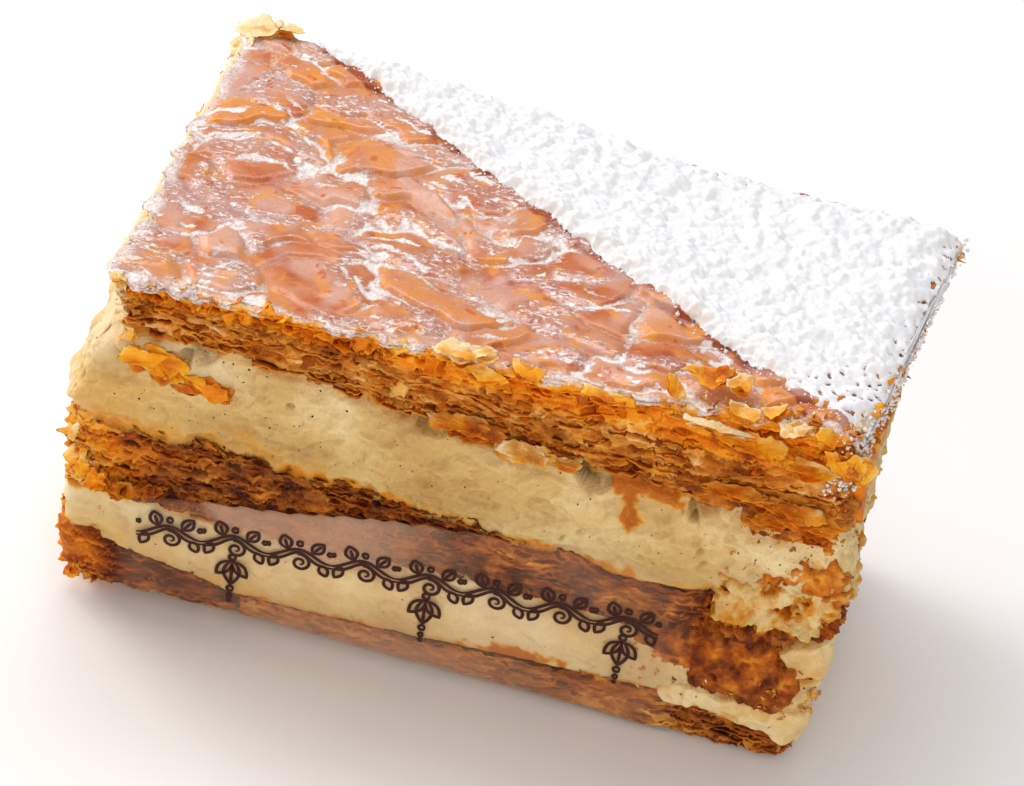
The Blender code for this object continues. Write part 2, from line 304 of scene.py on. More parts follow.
def caramelGlaze():
    # icing sugar melted under the grill: a hard amber skin with grainy white where it stayed dry
    made, tree, shader, coords = newMaterial("caramelisedSugarGlaze")
    crust, amber, pebble = marked(tree, "crust", "amber", "pebble")
    mottle = noiseFac(tree, coords, 5.0, 4, 0.6, 0.6)
    clouds = noiseFac(tree, coords, 9.0, 2, 0.5)
    fine = noiseFac(tree, coords, 1.1, 4, 0.65)
    grain = noiseFac(tree, coords, 0.45, 3, 0.7)
    value = mathNode(tree, "SUBTRACT", scaled(tree, mottle, 0.9, amber), 0.45)
    skin = ramp(tree, value, [(0.0, "#963c06"), (0.18, "#bd5c1c"), (0.36, "#cd7c46"),
                              (0.56, "#dc9566"), (0.74, "#e6964a"), (0.88, "#f0982e"),
                              (1.0, "#f8a834")])
    # painted reflection: pale lilac patches where the glossy caramel would mirror the bright sky
    skin = mixColour(tree, ranged(tree, clouds, 0.5, 0.6, 0.0, 0.6), skin, "#e2c0b4")
    skin = mixColour(tree, mathNode(tree, "MULTIPLY", pebble, 0.5), skin, "#c99a8c")
    skin = mixColour(tree, mathNode(tree, "MULTIPLY", fine, 0.45), skin, "#b55a22")
    # pools of clear syrup, then small panes of darker caramel
    for size, twist, start, end, cover, tint in ((4.2, 0.5, 0.55, 0.64, 0.7, "#e6942e"),
                                                 (2.4, 0.4, 0.64, 0.7, 0.8, "#c4560c")):
        patch = noiseFac(tree, coords, size, 2, 0.5, twist)
        skin = mixColour(tree, ranged(tree, patch, start, end, 0.0, cover), skin, tint)
    dry = mathNode(tree, "ADD", crust, scaled(tree, grain, 1.5, -0.75))
    dry = mathNode(tree, "ADD", dry, scaled(tree, fine, 0.9, -0.45))
    dry = ranged(tree, dry, 0.2, 1.05, interpolation_type="SMOOTHSTEP")
    dry = mathNode(tree, "MAXIMUM", dry, ranged(tree, grain, 0.6, 0.72, 0.0, 0.5))
    # painted highlights: short white glints over the pebbled skin, where it would sparkle in the light
    dashes = noiseFac(tree, stretched(tree, coords, (1, 1.9, 1)), 1.0, 2, 0.5, 0.6)
    paintedGlints = mathNode(tree, "MULTIPLY", pebble, ranged(tree, dashes, 0.55, 0.6))
    # white is the dry sugar crust together with the painted glints
    white = mathNode(tree, "MAXIMUM", mathNode(tree, "MULTIPLY", dry, 0.95),
                     mathNode(tree, "MULTIPLY", paintedGlints, 0.75))
    stones = addNode(tree, "ShaderNodeTexVoronoi", {"Vector": coords, "Scale": 1 / (0.75 * mm),
                                                    "Randomness": 1.0}).outputs["Distance"]
    stones = mathNode(tree, "MULTIPLY", mathNode(tree, "SUBTRACT", 1.0, stones), pebble)
    height = mathNode(tree, "MULTIPLY", scaled(tree, grain, 0.9, fine), white)
    height = scaled(tree, stones, 0.9, scaled(tree, fine, 0.2, height))
    feed(tree, shader, {
        "Base Color": mixColour(tree, white, skin, "#fdf4ef"),
        "Roughness": ranged(tree, white, low=0.34, high=0.55),
        "Coat Weight": scaled(tree, pebble, 0.55, 0.3, True),
        "Normal": bump(tree, height, 0.35, 0.7), "Coat Roughness": 0.12, "Coat IOR": 1.5,
        "IOR": 1.45, "Specular IOR Level": 0.25, "Subsurface Weight": 0.12,
        "Subsurface Radius": (1.0, 0.4, 0.15), "Subsurface Scale": 1.0 * mm})
    return made


def sievedIcingSugar():
    # fine sugar dust lying in soft clumps: nearly white, with no gloss at all
    made, tree, shader, coords = newMaterial("sievedIcingSugar")
    bare = marked(tree, "bare")[0]
    grain = noiseFac(tree, coords, 0.22, 3, 0.7)
    clump = noiseFac(tree, coords, 1.1, 3, 0.6)
    showing = mathNode(tree, "ADD", bare, scaled(tree, grain, 1.2, -0.6))
    # painted shade: a little greyer where the clump noise is low, the hollows between the clumps that
    # the same noise shapes
    white = ramp(tree, clump, [(0.25, "#eaebec"), (0.6, "#f4f4f5")])
    feed(tree, shader, {
        "Base Color": mixColour(tree, ranged(tree, showing, 0.45, 0.75), white, "#7a4a30"),
        "Normal": bump(tree, scaled(tree, grain, 0.5, clump), 0.3, 0.55), "Roughness": 0.95,
        "Specular IOR Level": 0.15, "Subsurface Weight": 0.25,
        "Subsurface Radius": (1.0, 0.95, 0.9), "Subsurface Scale": 0.8 * mm})
    return made


def vanillaCream(name, light, mid, deep):
    # egg custard lightened with whipped cream: soft, moist and a little see-through
    made, tree, shader, coords = newMaterial(name)
    stain, sunk = marked(tree, "stain", "sunk")
    clouds = noiseFac(tree, coords, 14.0, 3, 0.5)
    fine = noiseFac(tree, coords, 1.2, 4, 0.6)
    micro = noiseFac(tree, coords, 0.45, 3, 0.6)
    value = scaled(tree, fine, 0.2, mathNode(tree, "MULTIPLY", clouds, 0.9))
    colour = ramp(tree, value, [(0.35, deep), (0.55, mid), (0.75, light)])
    # painted shade: the sunk mark darkens the cream in dents, crescents, hollows and clefts, and at the
    # lower cream's ends
    colour = mixColour(tree, sunk, colour, "#7c5f2a")
    end = addNode(tree, "ShaderNodeSeparateXYZ", {"Vector": coords}).outputs
    leftEndLight = mathNode(tree, "MULTIPLY", ranged(tree, end["X"], -34 * mm, -52 * mm),
                       ranged(tree, end["Z"], 40 * mm, 47 * mm))  # painted light: paler high at the left end, where the light from the left falls
    colour = mixColour(tree, mathNode(tree, "MULTIPLY", leftEndLight, clouds), colour, "#fbeed2")
    soaked = mathNode(tree, "MULTIPLY", stain, scaled(tree, fine, 2.2, 0.5), clamp=True)
    butter = ramp(tree, stain, [(0.1, "#e2b04a"), (0.5, "#da8e04"), (0.95, "#c06a00")])
    feed(tree, shader, {
        "Base Color": mixColour(tree, soaked, colour, butter),
        "Roughness": ranged(tree, fine, low=0.36, high=0.56),
        "Normal": bump(tree, scaled(tree, micro, 0.35, fine), 0.6, 0.75),
        "Subsurface Weight": 0.3, "Subsurface Radius": (1.0, 0.7, 0.35),
        "Subsurface Scale": 2.2 * mm, "IOR": 1.42})
    return made


def plainSolid(name, colours, roughness, speckleMm):
    # one plain finish, slightly speckled: seed coats, food ink, the table
    made, tree, shader, coords = newMaterial(name)
    shade = ramp(tree, noiseFac(tree, coords, speckleMm, 2), list(zip((0.3, 0.7), colours)))
    feed(tree, shader, {"Base Color": shade, "Roughness": roughness, "Specular IOR Level": 0.2})
    return made


def clearFilm():
    # thin cast polypropylene: clear and a little milky, with a painted reflection: a milky band high on
    # the front wall stands in for the light mirrored in the film
    made, tree, shader, coords = newMaterial("castClearFilm")
    haze = marked(tree, "haze")[0]
    smear = scaled(tree, noiseFac(tree, coords, 2.5, 3, 0.6), 0.8, 0.6)
    feed(tree, shader, {
        "Base Color": linear("#dcae8e"), "Roughness": 0.12, "IOR": 1.5,
        "Normal": bump(tree, noiseFac(tree, coords, 6.0, 2, 0.5), 0.5, 0.15),
        "Alpha": mathNode(tree, "MULTIPLY", haze, smear, clamp=True)})
    return made


looks = {
    "leaves": bakedPuffPastry("bakedPuffPastryLeaf", 0.2, 0.2),
    "strata": bakedPuffPastry("bakedPuffPastryCrumb", 0.0, 0.4),
    "glaze": caramelGlaze(),
    "sugar": sievedIcingSugar(),
    "creamUpper": vanillaCream("vanillaCreamUpper", "#f4deaa", "#dcbb78", "#c69c58"),
    "creamLower": vanillaCream("vanillaCreamLower", "#f9e8be", "#ecd196", "#d9b272"),
    "seed": plainSolid("vanillaSeed", ("#1c120c", "#33231a"), 0.5, 0.4),
    "film": clearFilm(),
    "ink": plainSolid("brownFoodInk", ("#34150f", "#44201a"), 0.45, 1.5),
    "floor": plainSolid("paleTable", ("#f4f3f1", "#f7f6f4"), 0.6, 60.0),
}
print("materials made:", len(looks))


# meshes


def gridFaces(rows, columns, closedColumns=False, closedRows=False):
    r = np.arange(rows if closedRows else rows - 1)
    c = np.arange(columns if closedColumns else columns - 1)
    r, c = (a.ravel() for a in np.meshgrid(r, c, indexing="ij"))
    down, right = (r + 1) % rows, (c + 1) % columns
    return np.stack([r * columns + c, r * columns + right, down * columns + right,
                     down * columns + c], -1)


def facingOut(points, faces):
    total = 0.0
    for group in faces:
        a = points[group[:, 0]]
        for k in range(1, group.shape[1] - 1):
            total += np.einsum("ij,ij->", a, np.cross(points[group[:, k]], points[group[:, k + 1]]))
    return faces if total > 0 else [group[:, ::-1] for group in faces]


def setMark(mesh, name, values, kind="FLOAT"):  # one value for each point
    layer = mesh.attributes.new(name, kind, "POINT")
    field = "vector" if kind == "FLOAT_VECTOR" else "value"
    number = np.int32 if kind == "INT" else np.float32
    layer.data.foreach_set(field, np.asarray(values, number).ravel())


def makePiece(name, points, faces, material, replaced=None, marks=None, outward=True,
              smooth=True):
    points = np.asarray(points, float).reshape(-1, 3)
    faces = [np.asarray(group, np.int64) for group in faces if len(group)]
    if outward:
        faces = facingOut(points - points.mean(0), faces)
    mesh = bpy.data.meshes.new(name)
    mesh.vertices.add(len(points))
    mesh.vertices.foreach_set("co", (points * mm).astype(np.float32).ravel())
    sizes = np.concatenate([np.full(len(group), group.shape[1]) for group in faces])
    mesh.loops.add(int(sizes.sum()))
    mesh.polygons.add(len(sizes))
    mesh.polygons.foreach_set("loop_start", (np.cumsum(sizes) - sizes).astype(np.int32))
    mesh.loops.foreach_set("vertex_index",
                           np.concatenate([group.ravel() for group in faces]).astype(np.int32))
    mesh.update(calc_edges=True)
    for mark, values in (marks or {}).items():
        setMark(mesh, mark, values)
    mesh.materials.append(material)
    if smooth:
        mesh.shade_smooth()
    piece = bpy.data.objects.new(name, mesh)
    scene.collection.objects.link(piece)
    dress(piece, replaced)


def dress(piece, replaced=None):
    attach(piece, "root")
    if replaced:
        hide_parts(replaced)
    triangles = sum(len(p.vertices) - 2 for p in piece.data.polygons)
    print(f"  {piece.name}: {triangles} triangles")


def tubeFaces(rows, columns):  # closed rings in a row, with a middle point after them for each end
    around = np.arange(columns)
    after = (around + 1) % columns
    last, middle = (rows - 1) * columns, np.full(columns, rows * columns)
    return [gridFaces(rows, columns, closedColumns=True), np.stack([middle, after, around], -1),
            np.stack([middle + 1, last + around, last + after], -1)]


def loft(rings, sink=2.4, capShares=(0.93, 0.5, 0.2)):  # stacked closed rings with sunken ends
    rings = np.asarray(rings, float)
    caps = []
    for end, way in ((rings[0], 1), (rings[-1], -1)):
        middle = end.mean(0)
        inner = [middle + (end - middle) * share + (0, 0, way * sink) for share in capShares]
        caps.append((inner, middle + (0, 0, way * sink)))
    stack = caps[0][0][::-1] + list(rings) + caps[1][0]
    points = np.concatenate([np.concatenate(stack), [caps[0][1], caps[1][1]]])
    return points, tubeFaces(len(stack), rings.shape[1])


def borderOf(along, across):  # the grid's outer points, anticlockwise from above
    return np.concatenate([np.arange(along) * across, (along - 1) * across + np.arange(1, across),
                           np.arange(along - 2, -1, -1) * across + across - 1,
                           np.arange(across - 2, 0, -1)])


def closedPatch(outer, inner):  # a thick patch between two equal grids
    n, m = outer.shape[:2]
    border = borderOf(n, m)
    faces = gridFaces(n, m)
    ahead = np.roll(border, -1)
    rim = np.stack([border, ahead, ahead + n * m, border + n * m], -1)
    points = np.concatenate([outer.reshape(-1, 3), inner.reshape(-1, 3)])
    return points, [faces, faces[:, ::-1] + n * m, rim]


def skirted(top, skirt, middle):  # a grid closed below by rings that follow its border
    border = borderOf(*top.shape[:2])
    start, count = top.shape[0] * top.shape[1], len(border)
    below = start + np.arange(len(skirt) * count).reshape(-1, count)
    chain = np.concatenate([border[None], below])
    ahead = np.roll(chain, -1, 1)
    quads = np.stack([chain[:-1], ahead[:-1], ahead[1:], chain[1:]], -1).reshape(-1, 4)
    points = np.concatenate([top.reshape(-1, 3), *skirt, [middle]])
    hub = np.stack([chain[-1], ahead[-1], np.full(count, len(points) - 1)], -1)
    return points, [gridFaces(*top.shape[:2])[:, ::-1], quads, hub]


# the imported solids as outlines, rim heights and wall leans

# about how far apart a wall's points lie on each side of the slice, in mm
spacing = {"front": 0.25, "right": 0.35, "left": 0.48, "back": 1.2}
slabPlan = {"angles": 800, "nearest": 10.0, "farthest": 80.0, "halvings": 13,
            "insets": (2.0, 4.5, 8.0), "shares": (0.04, 0.96, 9), "blur": 4,
            "leanFrom": 8.0, "leanWithin": 22.0, "leanElse": -0.6}


def boxOf(name):
    return (np.array(corner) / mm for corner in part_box(name))


def rayHit(tree, start, way):
    return tree.ray_cast(Vector(start) * mm, Vector(way))[0]


def throughOf(name):  # a function for the slab's lower and upper height at a place
    tree, (low, high) = trees[name], boxOf(name)

    def through(x, y):
        down = rayHit(tree, (x, y, high[2] + 5), (0, 0, -1))
        if down is None:
            return None
        return rayHit(tree, (x, y, low[2] - 5), (0, 0, 1)).z / mm, down.z / mm

    return through


def outlineOf(through, middle):  # at even angles, each radius closed in on by halving
    angles = np.linspace(0, 2 * math.pi, slabPlan["angles"], endpoint=False) - math.pi / 2
    radii = []
    for angle in angles:
        near, far = slabPlan["nearest"], slabPlan["farthest"]
        for _ in range(slabPlan["halvings"]):
            r = (near + far) / 2
            hit = through(middle[0] + r * math.cos(angle), middle[1] + r * math.sin(angle))
            near, far = (r, far) if hit else (near, r)
        radii.append(near)
    radii = blurred(np.array(radii), 1.2)
    return stacked(middle[0] + radii * np.cos(angles), middle[1] + radii * np.sin(angles))


def respaced(ring):  # its points as far apart as each side's spacing says
    step = np.linalg.norm(np.roll(ring, -1, 0) - ring, axis=1)
    wanted = 1 / sum(ease(0.35, 0.8, outwardOf(ring) @ way) / spacing[side] + 0.15
                     for side, way in (("front", (0, -1)), ("back", (0, 1)),
                                       ("left", (-1, 0)), ("right", (1, 0))))
    travel = np.concatenate([[0], np.cumsum(step / wanted)])
    count = int(travel[-1])
    return placed(np.concatenate([ring, ring[:1]]), travel, np.arange(count) * travel[-1] / count)


def rimHeights(through, plan, normal, box):  # lower and upper, read a little inside the outline
    rim = []
    for p, n in zip(plan, normal):
        found = [f for f in (through(*(p - n * inset)) for inset in slabPlan["insets"]) if f]
        rim.append((min(f[0] for f in found), max(f[1] for f in found)) if found
                   else (box[0][2], box[1][2]))
    return blurred(np.array(rim), slabPlan["blur"])


def leanOf(tree, plan, normal, rim, shares):  # how far the wall stands out of its plan
    lean, outside = np.zeros((len(shares), len(plan))), slabPlan["leanFrom"]
    for i, share in enumerate(shares):
        for k in range(len(plan)):
            z = rim[k, 0] + (rim[k, 1] - rim[k, 0]) * share
            start = plan[k] + normal[k] * outside
            hit = tree.ray_cast(Vector((start[0], start[1], z)) * mm,
                                Vector((-normal[k, 0], -normal[k, 1], 0)))
            met = hit[0] is not None and hit[3] < slabPlan["leanWithin"] * mm
            lean[i, k] = outside - hit[3] / mm if met else slabPlan["leanElse"]
    return blurred(lean, slabPlan["blur"], 1)


def readSlab(name):
    low, high = boxOf(name)
    through = throughOf(name)
    plan = respaced(outlineOf(through, (low + high) / 2))
    normal = blurred(outwardOf(plan), slabPlan["blur"])
    normal /= np.linalg.norm(normal, axis=1)[:, None]
    rim = rimHeights(through, plan, normal, (low, high))
    shares = np.linspace(*slabPlan["shares"])
    return {"plan": plan, "normal": normal, "low": rim[:, 0], "high": rim[:, 1],
            "shares": shares, "lean": leanOf(trees[name], plan, normal, rim, shares),
            "name": name, "count": len(plan)}


def rimOf(slab):  # the outline laid flat
    return stacked(slab["plan"][:, 0], slab["plan"][:, 1], 0.0)


def wallAt(slab, share):  # how far the side stands out from the plan at a height share, per point
    share = np.clip(share, slab["shares"][0], slab["shares"][-1])
    place = (share - slab["shares"][0]) / (slab["shares"][1] - slab["shares"][0])
    i = np.clip(place.astype(int), 0, len(slab["shares"]) - 2)
    columns = np.broadcast_to(np.arange(slab["count"]), i.shape)
    a, b = slab["lean"][i, columns], slab["lean"][i + 1, columns]
    return a + (b - a) * (place - i)


def besideWall(slab, share, out):  # points at a height share and a distance out; shapes (rows, count)
    share, out = np.broadcast_arrays(share, out)
    reach = wallAt(slab, share) + out
    x = slab["plan"][:, 0] + slab["normal"][:, 0] * reach
    y = slab["plan"][:, 1] + slab["normal"][:, 1] * reach
    z = slab["low"] + (slab["high"] - slab["low"]) * share
    return stacked(x, y, z)


def neighbours(table, **padding):  # the table itself and shifted by one cell each way
    padded = np.pad(table, 1, **padding)
    return [padded[1 + a:1 + a + table.shape[0], 1 + b:1 + b + table.shape[1]]
            for a in (-1, 0, 1) for b in (-1, 0, 1)]


def surfaceOf(name, step=2.0):  # the height of a solid's top as a function
    low, high = boxOf(name)
    xs, ys = (np.arange(low[i] - 4, high[i] + 4, step) for i in (0, 1))
    table = np.full((len(xs), len(ys)), np.nan)
    for i, x in enumerate(xs):
        for k, y in enumerate(ys):
            hit = rayHit(trees[name], (x, y, high[2] + 5), (0, 0, -1))
            if hit is not None:
                table[i, k] = hit.z / mm
    while np.isnan(table).any():  # carries the rim's height outwards
        around = np.stack(neighbours(table, constant_values=np.nan))
        known = ~np.isnan(around)
        filled = np.where(known, around, 0).sum(0) / np.maximum(known.sum(0), 1)
        table = np.where(np.isnan(table) & known.any(0), filled, table)
    table = sum(neighbours(table, mode="edge")) / 9
    return lambda x, y: lookUp(table, (np.asarray(x, float) - xs[0]) / step,
                               (np.asarray(y, float) - ys[0]) / step)
slabs = {name: readSlab(name) for name in ("pastry_bottom", "cream_lower", "pastry_middle",
                                           "cream_upper", "pastry_top")}
topHeight = surfaceOf("pastry_top")


def columnsIn(slab, plan):  # the columns of a slab's wall inside a plan's x and y range
    x, y = slab["plan"][:, 0], slab["plan"][:, 1]
    return np.flatnonzero((x > plan["x"][0]) & (x < plan["x"][1]) & (y > plan["y"][0])
                          & (y < plan["y"][1]))


def partOf(slab, chosen):  # some columns of a slab's wall
    kept = {key: slab[key][chosen] for key in ("plan", "normal", "low", "high")}
    return kept | {"shares": slab["shares"], "lean": slab["lean"][:, chosen],
                   "name": slab["name"], "count": len(chosen)}


print("slabs read:", {name: slab["count"] for name, slab in slabs.items()})


# the film's walls, which press the lower half flat

filmPlan = {"thickness": 0.14, "clearance": 0.15, "alongStep": 1.0, "heightStep": 0.6,
            "wobble": 0.25, "hazeTop": 0.34, "sections": 126, "wallRows": 34, "baseRows": 40,
            "foot": 0.42, "base": 0.22}


def readFilm():
    low, high = boxOf("film_wrap")
    xs = np.arange(low[0] + 0.2, high[0] - 0.1, filmPlan["alongStep"])
    zs = np.arange(0.5, high[2], filmPlan["heightStep"])
    walls = {}
    for side, way in (("front", -1), ("back", 1)):
        table = np.full((len(xs), len(zs)), np.nan)
        for i, x in enumerate(xs):
            for k, z in enumerate(zs):
                hit = rayHit(trees["film_wrap"], (x, 0, z), (0, way, 0))
                if hit is not None:
                    table[i, k] = hit.y / mm
        tops = np.array([zs[~np.isnan(row)].max() for row in table])
        for row in table:
            row[np.isnan(row)] = row[~np.isnan(row)][-1]
        walls[side] = (table, tops)
    return xs, zs, walls


filmXs, filmZs, filmWalls = readFilm()


def filmWall(side, x, z):  # y of the film's inner face
    return lookUp(filmWalls[side][0], (x - filmXs[0]) / (filmXs[1] - filmXs[0]),
                  (z - filmZs[0]) / (filmZs[1] - filmZs[0]))


def filmTop(side, x):
    return np.interp(x, filmXs, filmWalls[side][1])


def pressed(points, slack=None):  # keeps points inside the film, or flat against its front wall
    p = np.array(points, float)
    x, y, z = p[..., 0], p[..., 1], p[..., 2]
    within = (x > filmXs[0] - 0.4) & (x < filmXs[-1] + 0.4)
    room = filmPlan["clearance"]
    front = within & (y < 0) & (z < filmTop("front", x) + 0.6)
    back = within & (y > 0) & (z < filmTop("back", x) + 0.6)
    wall, rear = filmWall("front", x, z) + room, filmWall("back", x, z) - room
    if slack is not None:
        inset = ease(0, 2, x - filmXs[0]) * ease(0, 3, filmXs[-1] - x)
        inset = inset * ease(0.2, 2.2, filmTop("front", x) - z)
        flat = wall + slack * (1 + swell(p, 2.4, 71) + 0.6 * swell(p, 0.9, 72)) / 2
        y = np.where(front, y + (np.minimum(y, flat) - y) * inset, y)
    y = np.where(front, np.maximum(y, wall), y)
    y = np.where(back, np.minimum(y, rear), y)
    z = np.maximum(z, np.where(within, 0.45, 0.05))
    return stacked(x, y, z)


# puff pastry: a layered wall, torn leaves standing out of it, and loose flakes

# rows up the wall, cell length and height in mm, depth of the gaps, unevenness of the cut
wallPlans = {
    "pastry_top": {"rows": 76, "cell": (2.8, 0.74), "gap": 1.05, "cut": 0.4, "crumb": 0.2,
                   "back": 0.45, "seed": 11},
    "pastry_middle": {"rows": 66, "cell": (2.6, 0.85), "gap": 1.2, "cut": 0.5, "crumb": 0.3,
                      "back": 0.35, "seed": 47},
    "pastry_bottom": {"rows": 50, "cell": (2.6, 0.8), "gap": 1.0, "cut": 0.4, "crumb": 0.25,
                      "back": 0.3, "seed": 83},
}
# height share, reach in mm, how much of the way round it shows, thickness, tone, glow
tornRows = {
    "pastry_top": (20, [(0.0, 0.6, 0.2, 0.34, 0.4, 0.45), (0.12, 0.5, 0.0, 0.32, 0.44, 0.4),
                        (0.3, 0.4, -0.1, 0.28, 0.5, 0.35), (0.55, 0.45, -0.08, 0.28, 0.5, 0.5),
                        (0.7, 0.45, 0.0, 0.28, 0.48, 0.8), (0.82, 0.4, -0.1, 0.3, 0.42, 1.0),
                        (0.88, 0.8, 0.5, 0.34, 0.42, 1.0), (1.0, 0.5, 0.4, 0.3, 0.44, 1.0)]),
    "pastry_middle": (12, [(0.0, 0.5, 0.1, 0.32, 0.26, 0.3), (0.5, 0.4, -0.05, 0.28, 0.22, 0.25),
                           (1.0, 0.5, 0.1, 0.32, 0.3, 0.4)]),
    "pastry_bottom": (9, [(0.0, 0.4, 0.05, 0.3, 0.26, 0.3), (0.5, 0.4, -0.05, 0.28, 0.26, 0.3),
                          (1.0, 0.5, 0.05, 0.3, 0.3, 0.35)]),
}
leafApart = 31.7  # far enough apart in the noise for each leaf to have its own
# depth behind the torn edge, height in leaf thicknesses, and how much paler or darker it is: a painted
# highlight on the torn edge that catches the light, painted shade further back under the leaf above
leafSection = {"depth": np.array([2.6, 0.45, 0.0, 0.12, 2.6]),
               "rise": np.array([0.5, 0.4, 0.16, -0.5, -0.5]),
               "tone": np.array([-0.25, -0.04, 0.12, 0.06, -0.12])}


def warmth(slab, share):  # tone and glow of the pastry, per point of a wall; the left ends are paler, painted light where the light from the left falls
    x = slab["plan"][:, 0] + 0 * share
    if slab["name"] == "pastry_top":
        end = ease(-49.5, -52, x)
        tone = 0.37 + 0.12 * ease(0.84, 0.95, share) + 0.35 * end
        return tone, 0.3 + 0.9 * ease(0.52, 0.7, share + 0.16 * ease(10, 40, x)) - 0.75 * end
    if slab["name"] == "pastry_middle":
        return (0.08 + 0.4 * ease(-46, -54, x),
                0.16 + 0.6 * ease(-40, -52, x) + 0.2 * ease(30, 44, x))
    end = ease(-48, -55, x)
    return 0.2 - 0.12 * ease(-30, -38, x) + 0.2 * end, 0.1 + 0.6 * end + 0.2 * ease(32, 44, x)


def openCells(x, share):  # where big cells gape under the crust, most of all at the left
    left, right = ease(0.52, 0.66, share) * ease(4, -20, x), ease(0.6, 0.7, share) * ease(5, 20, x)
    return (left + 0.35 * right) * ease(0.93, 0.87, share)


def dusting(slab, points):  # icing sugar caught on the right side, thinner lower down
    x, z = points[..., 0], points[..., 2]
    if slab["name"] != "pastry_top":
        return 0 * x
    fall = ease(44, 56, z + 3 * swell(points, 5.0, 31)) * ease(44.5, 49, x + 0.2 * z - 10)
    return np.maximum(fall, 0.7 * ease(0.5, 0.1, topHeight(x, points[..., 1]) - z))


def strataRelief(slab, points, share, plan):  # how far a laminated cut stands out, and its hollows
    seed, isTop = plan["seed"], slab["name"] == "pastry_top"
    tall = slab["high"] - slab["low"]
    level = share * tall + 0.8 * swell(points * (1, 1, 0.3), 16, seed)
    level = level + 0.35 * swell(points * (1, 1, 0.6), 5.0, seed + 1)
    level = level + 0.14 * swell(points, 1.4, seed + 2)
    gaping = openCells(points[..., 0], share) * isTop
    long, tallCell = plan["cell"]
    long = long * (1 - 0.3 * gaping)
    stretch = stacked(points[..., 0] / long, points[..., 1] / long,
                      level / (tallCell * (1 + 0.9 * gaping)))
    stretch = stretch + 0.16 * stacked(swell(points, 1.3, seed + 3), swell(points, 1.3, seed + 4),
                                       swell(points, 2.2, seed + 5))
    near, second, number = cells(stretch, 1.0, seed + 6)
    hollow = ease(0.04, 0.2 - 0.06 * gaping, second - near)
    hollow = hollow * (0.15 + 1.0 * number) * (1 + 0.6 * gaping)
    hollow = hollow * (0.55 + 0.45 * ease(-0.4, 0.3, swell(points, 6.0, seed + 7)) + 0.3 * gaping)
    leafAt = stacked(points[..., 0], points[..., 1], np.floor(level / tallCell) * leafApart)
    cut = rough(points, 6.0, 2, seed + 8) * 0.8 - 0.5 * np.abs(swell(leafAt, 1.8, seed + 9))
    crust = ease(0.86, 0.9, share) * isTop  # the solid band under the glaze
    hollow = hollow * (1 - 0.8 * crust)
    under = ease(0.7, 0.79, share) * ease(0.87, 0.83, share) * isTop
    under = under * ease(-0.5, 0.2, swell(points, 5.0, seed + 16))
    out = plan["cut"] * cut - plan["gap"] * hollow - plan["back"] * (1 - crust) - 0.8 * under
    out = out + plan["crumb"] * (swell(points, 0.9, seed + 10) + 0.6 * swell(points, 0.45, seed + 11))
    return out, hollow, leafAt, gaping


def layeredWall(slab, label, look):
    plan = wallPlans[slab["name"]]
    rows, seed = plan["rows"], plan["seed"]
    share = np.linspace(0.0, 1.0, rows)[:, None] * np.ones(slab["count"])
    points = besideWall(slab, share, 0.0)
    out, hollow, leafAt, gaping = strataRelief(slab, points, share, plan)
    edge = np.minimum(share, 1 - share)
    if slab["name"] == "pastry_top":
        out = out * (1 - 0.6 * ease(0.4, 0.9, -slab["normal"][:, 0])) - 0.4 * ease(0.05, 0.0, edge)
    else:  # soft crumbs reach over the cream
        out = out + (plan["back"] + 0.1) * ease(0.14, 0.03, edge)
    points[..., :2] += slab["normal"] * out[..., None]
    fray = rough(rimOf(slab), 4.5, 3, seed + 14)
    points[..., 2] += 0.9 * fray * (ease(0.8, 1.0, share) * (slab["name"] != "pastry_top")
                                    + ease(0.2, 0.0, share) * (slab["name"] != "pastry_bottom"))
    mesh, faces = loft(pressed(points, 0.7))
    tone, glow = warmth(slab, share)
    # painted shade: darker in the hollows between the leaves
    tone = tone + 0.26 - (0.42 + 0.05 * gaping) * hollow + 0.2 * swell(leafAt, 3.0, seed + 12)
    tone = tone + 0.16 * swell(points, 5.0, seed + 13)
    glow = glow + 0.25 * swell(leafAt, 7.0, seed + 15) + 0.2 * hollow * gaping
    makePiece(label, mesh, faces, look, slab["name"],
              {"tone": spread(tone, mesh), "glow": spread(glow, mesh),
               "dust": dusting(slab, mesh)}, smooth=False)


def spread(values, mesh):  # carries a loft's row values over its end caps
    count = values.shape[1]
    pad = ((len(mesh) - 2) // count - len(values)) // 2
    rows = np.concatenate([np.repeat(values[:1], pad, 0), values, np.repeat(values[-1:], pad, 0)])
    return np.concatenate([rows.ravel(), [values[0, 0], values[-1, 0]]])


def leafRows(name, random):  # height shares; reach, share showing, thickness, tone and glow
    leaves, marks = tornRows[name]
    marks = np.array(marks)
    share = np.linspace(0, 1, leaves) + random.uniform(-0.25, 0.25, leaves) / leaves
    share = np.clip(share, 0.01, 0.925)[:, None]
    return leaves, share, [np.interp(share, marks[:, 0], marks[:, i]) for i in range(1, 6)]


def leafEdges(slab, spots, share, reach, showing, seed):  # how far they stand out, and their curl
    x, isTop = slab["plan"][:, 0], slab["name"] == "pastry_top"
    torn = (rough(spots, 5.0, 2, seed + 2) * 0.7 - 0.9 * np.abs(swell(spots, 1.9, seed + 3))
            - 0.6 * np.abs(swell(spots, 0.8, seed + 4)) - 0.3 * np.abs(swell(spots, 0.4, seed + 6))
            + 0.5)
    shown = ease(-0.1, 0.12, swell(spots, 3.6, seed + 5) + showing - 0.1)
    if isTop:
        shown = shown * (1 - 0.9 * openCells(x, share))
    out = (reach * torn + 0.1) * shown - 2.3 * (1 - shown)
    out = out - 0.5 * ease(0.4, 0.9, -slab["normal"][:, 0]) * isTop
    wild = ease(-42, -54, x) * (not isTop)  # crumpled at the left end
    curl = 0.32 * swell(spots, 2.6, seed + 7) + 0.24 * swell(spots, 1.1, seed + 8)
    curl = curl * (1 + 1.8 * wild) * ease(1.0, 0.85, share)
    return out + 0.7 * wild * swell(spots, 2.4, seed + 13), curl


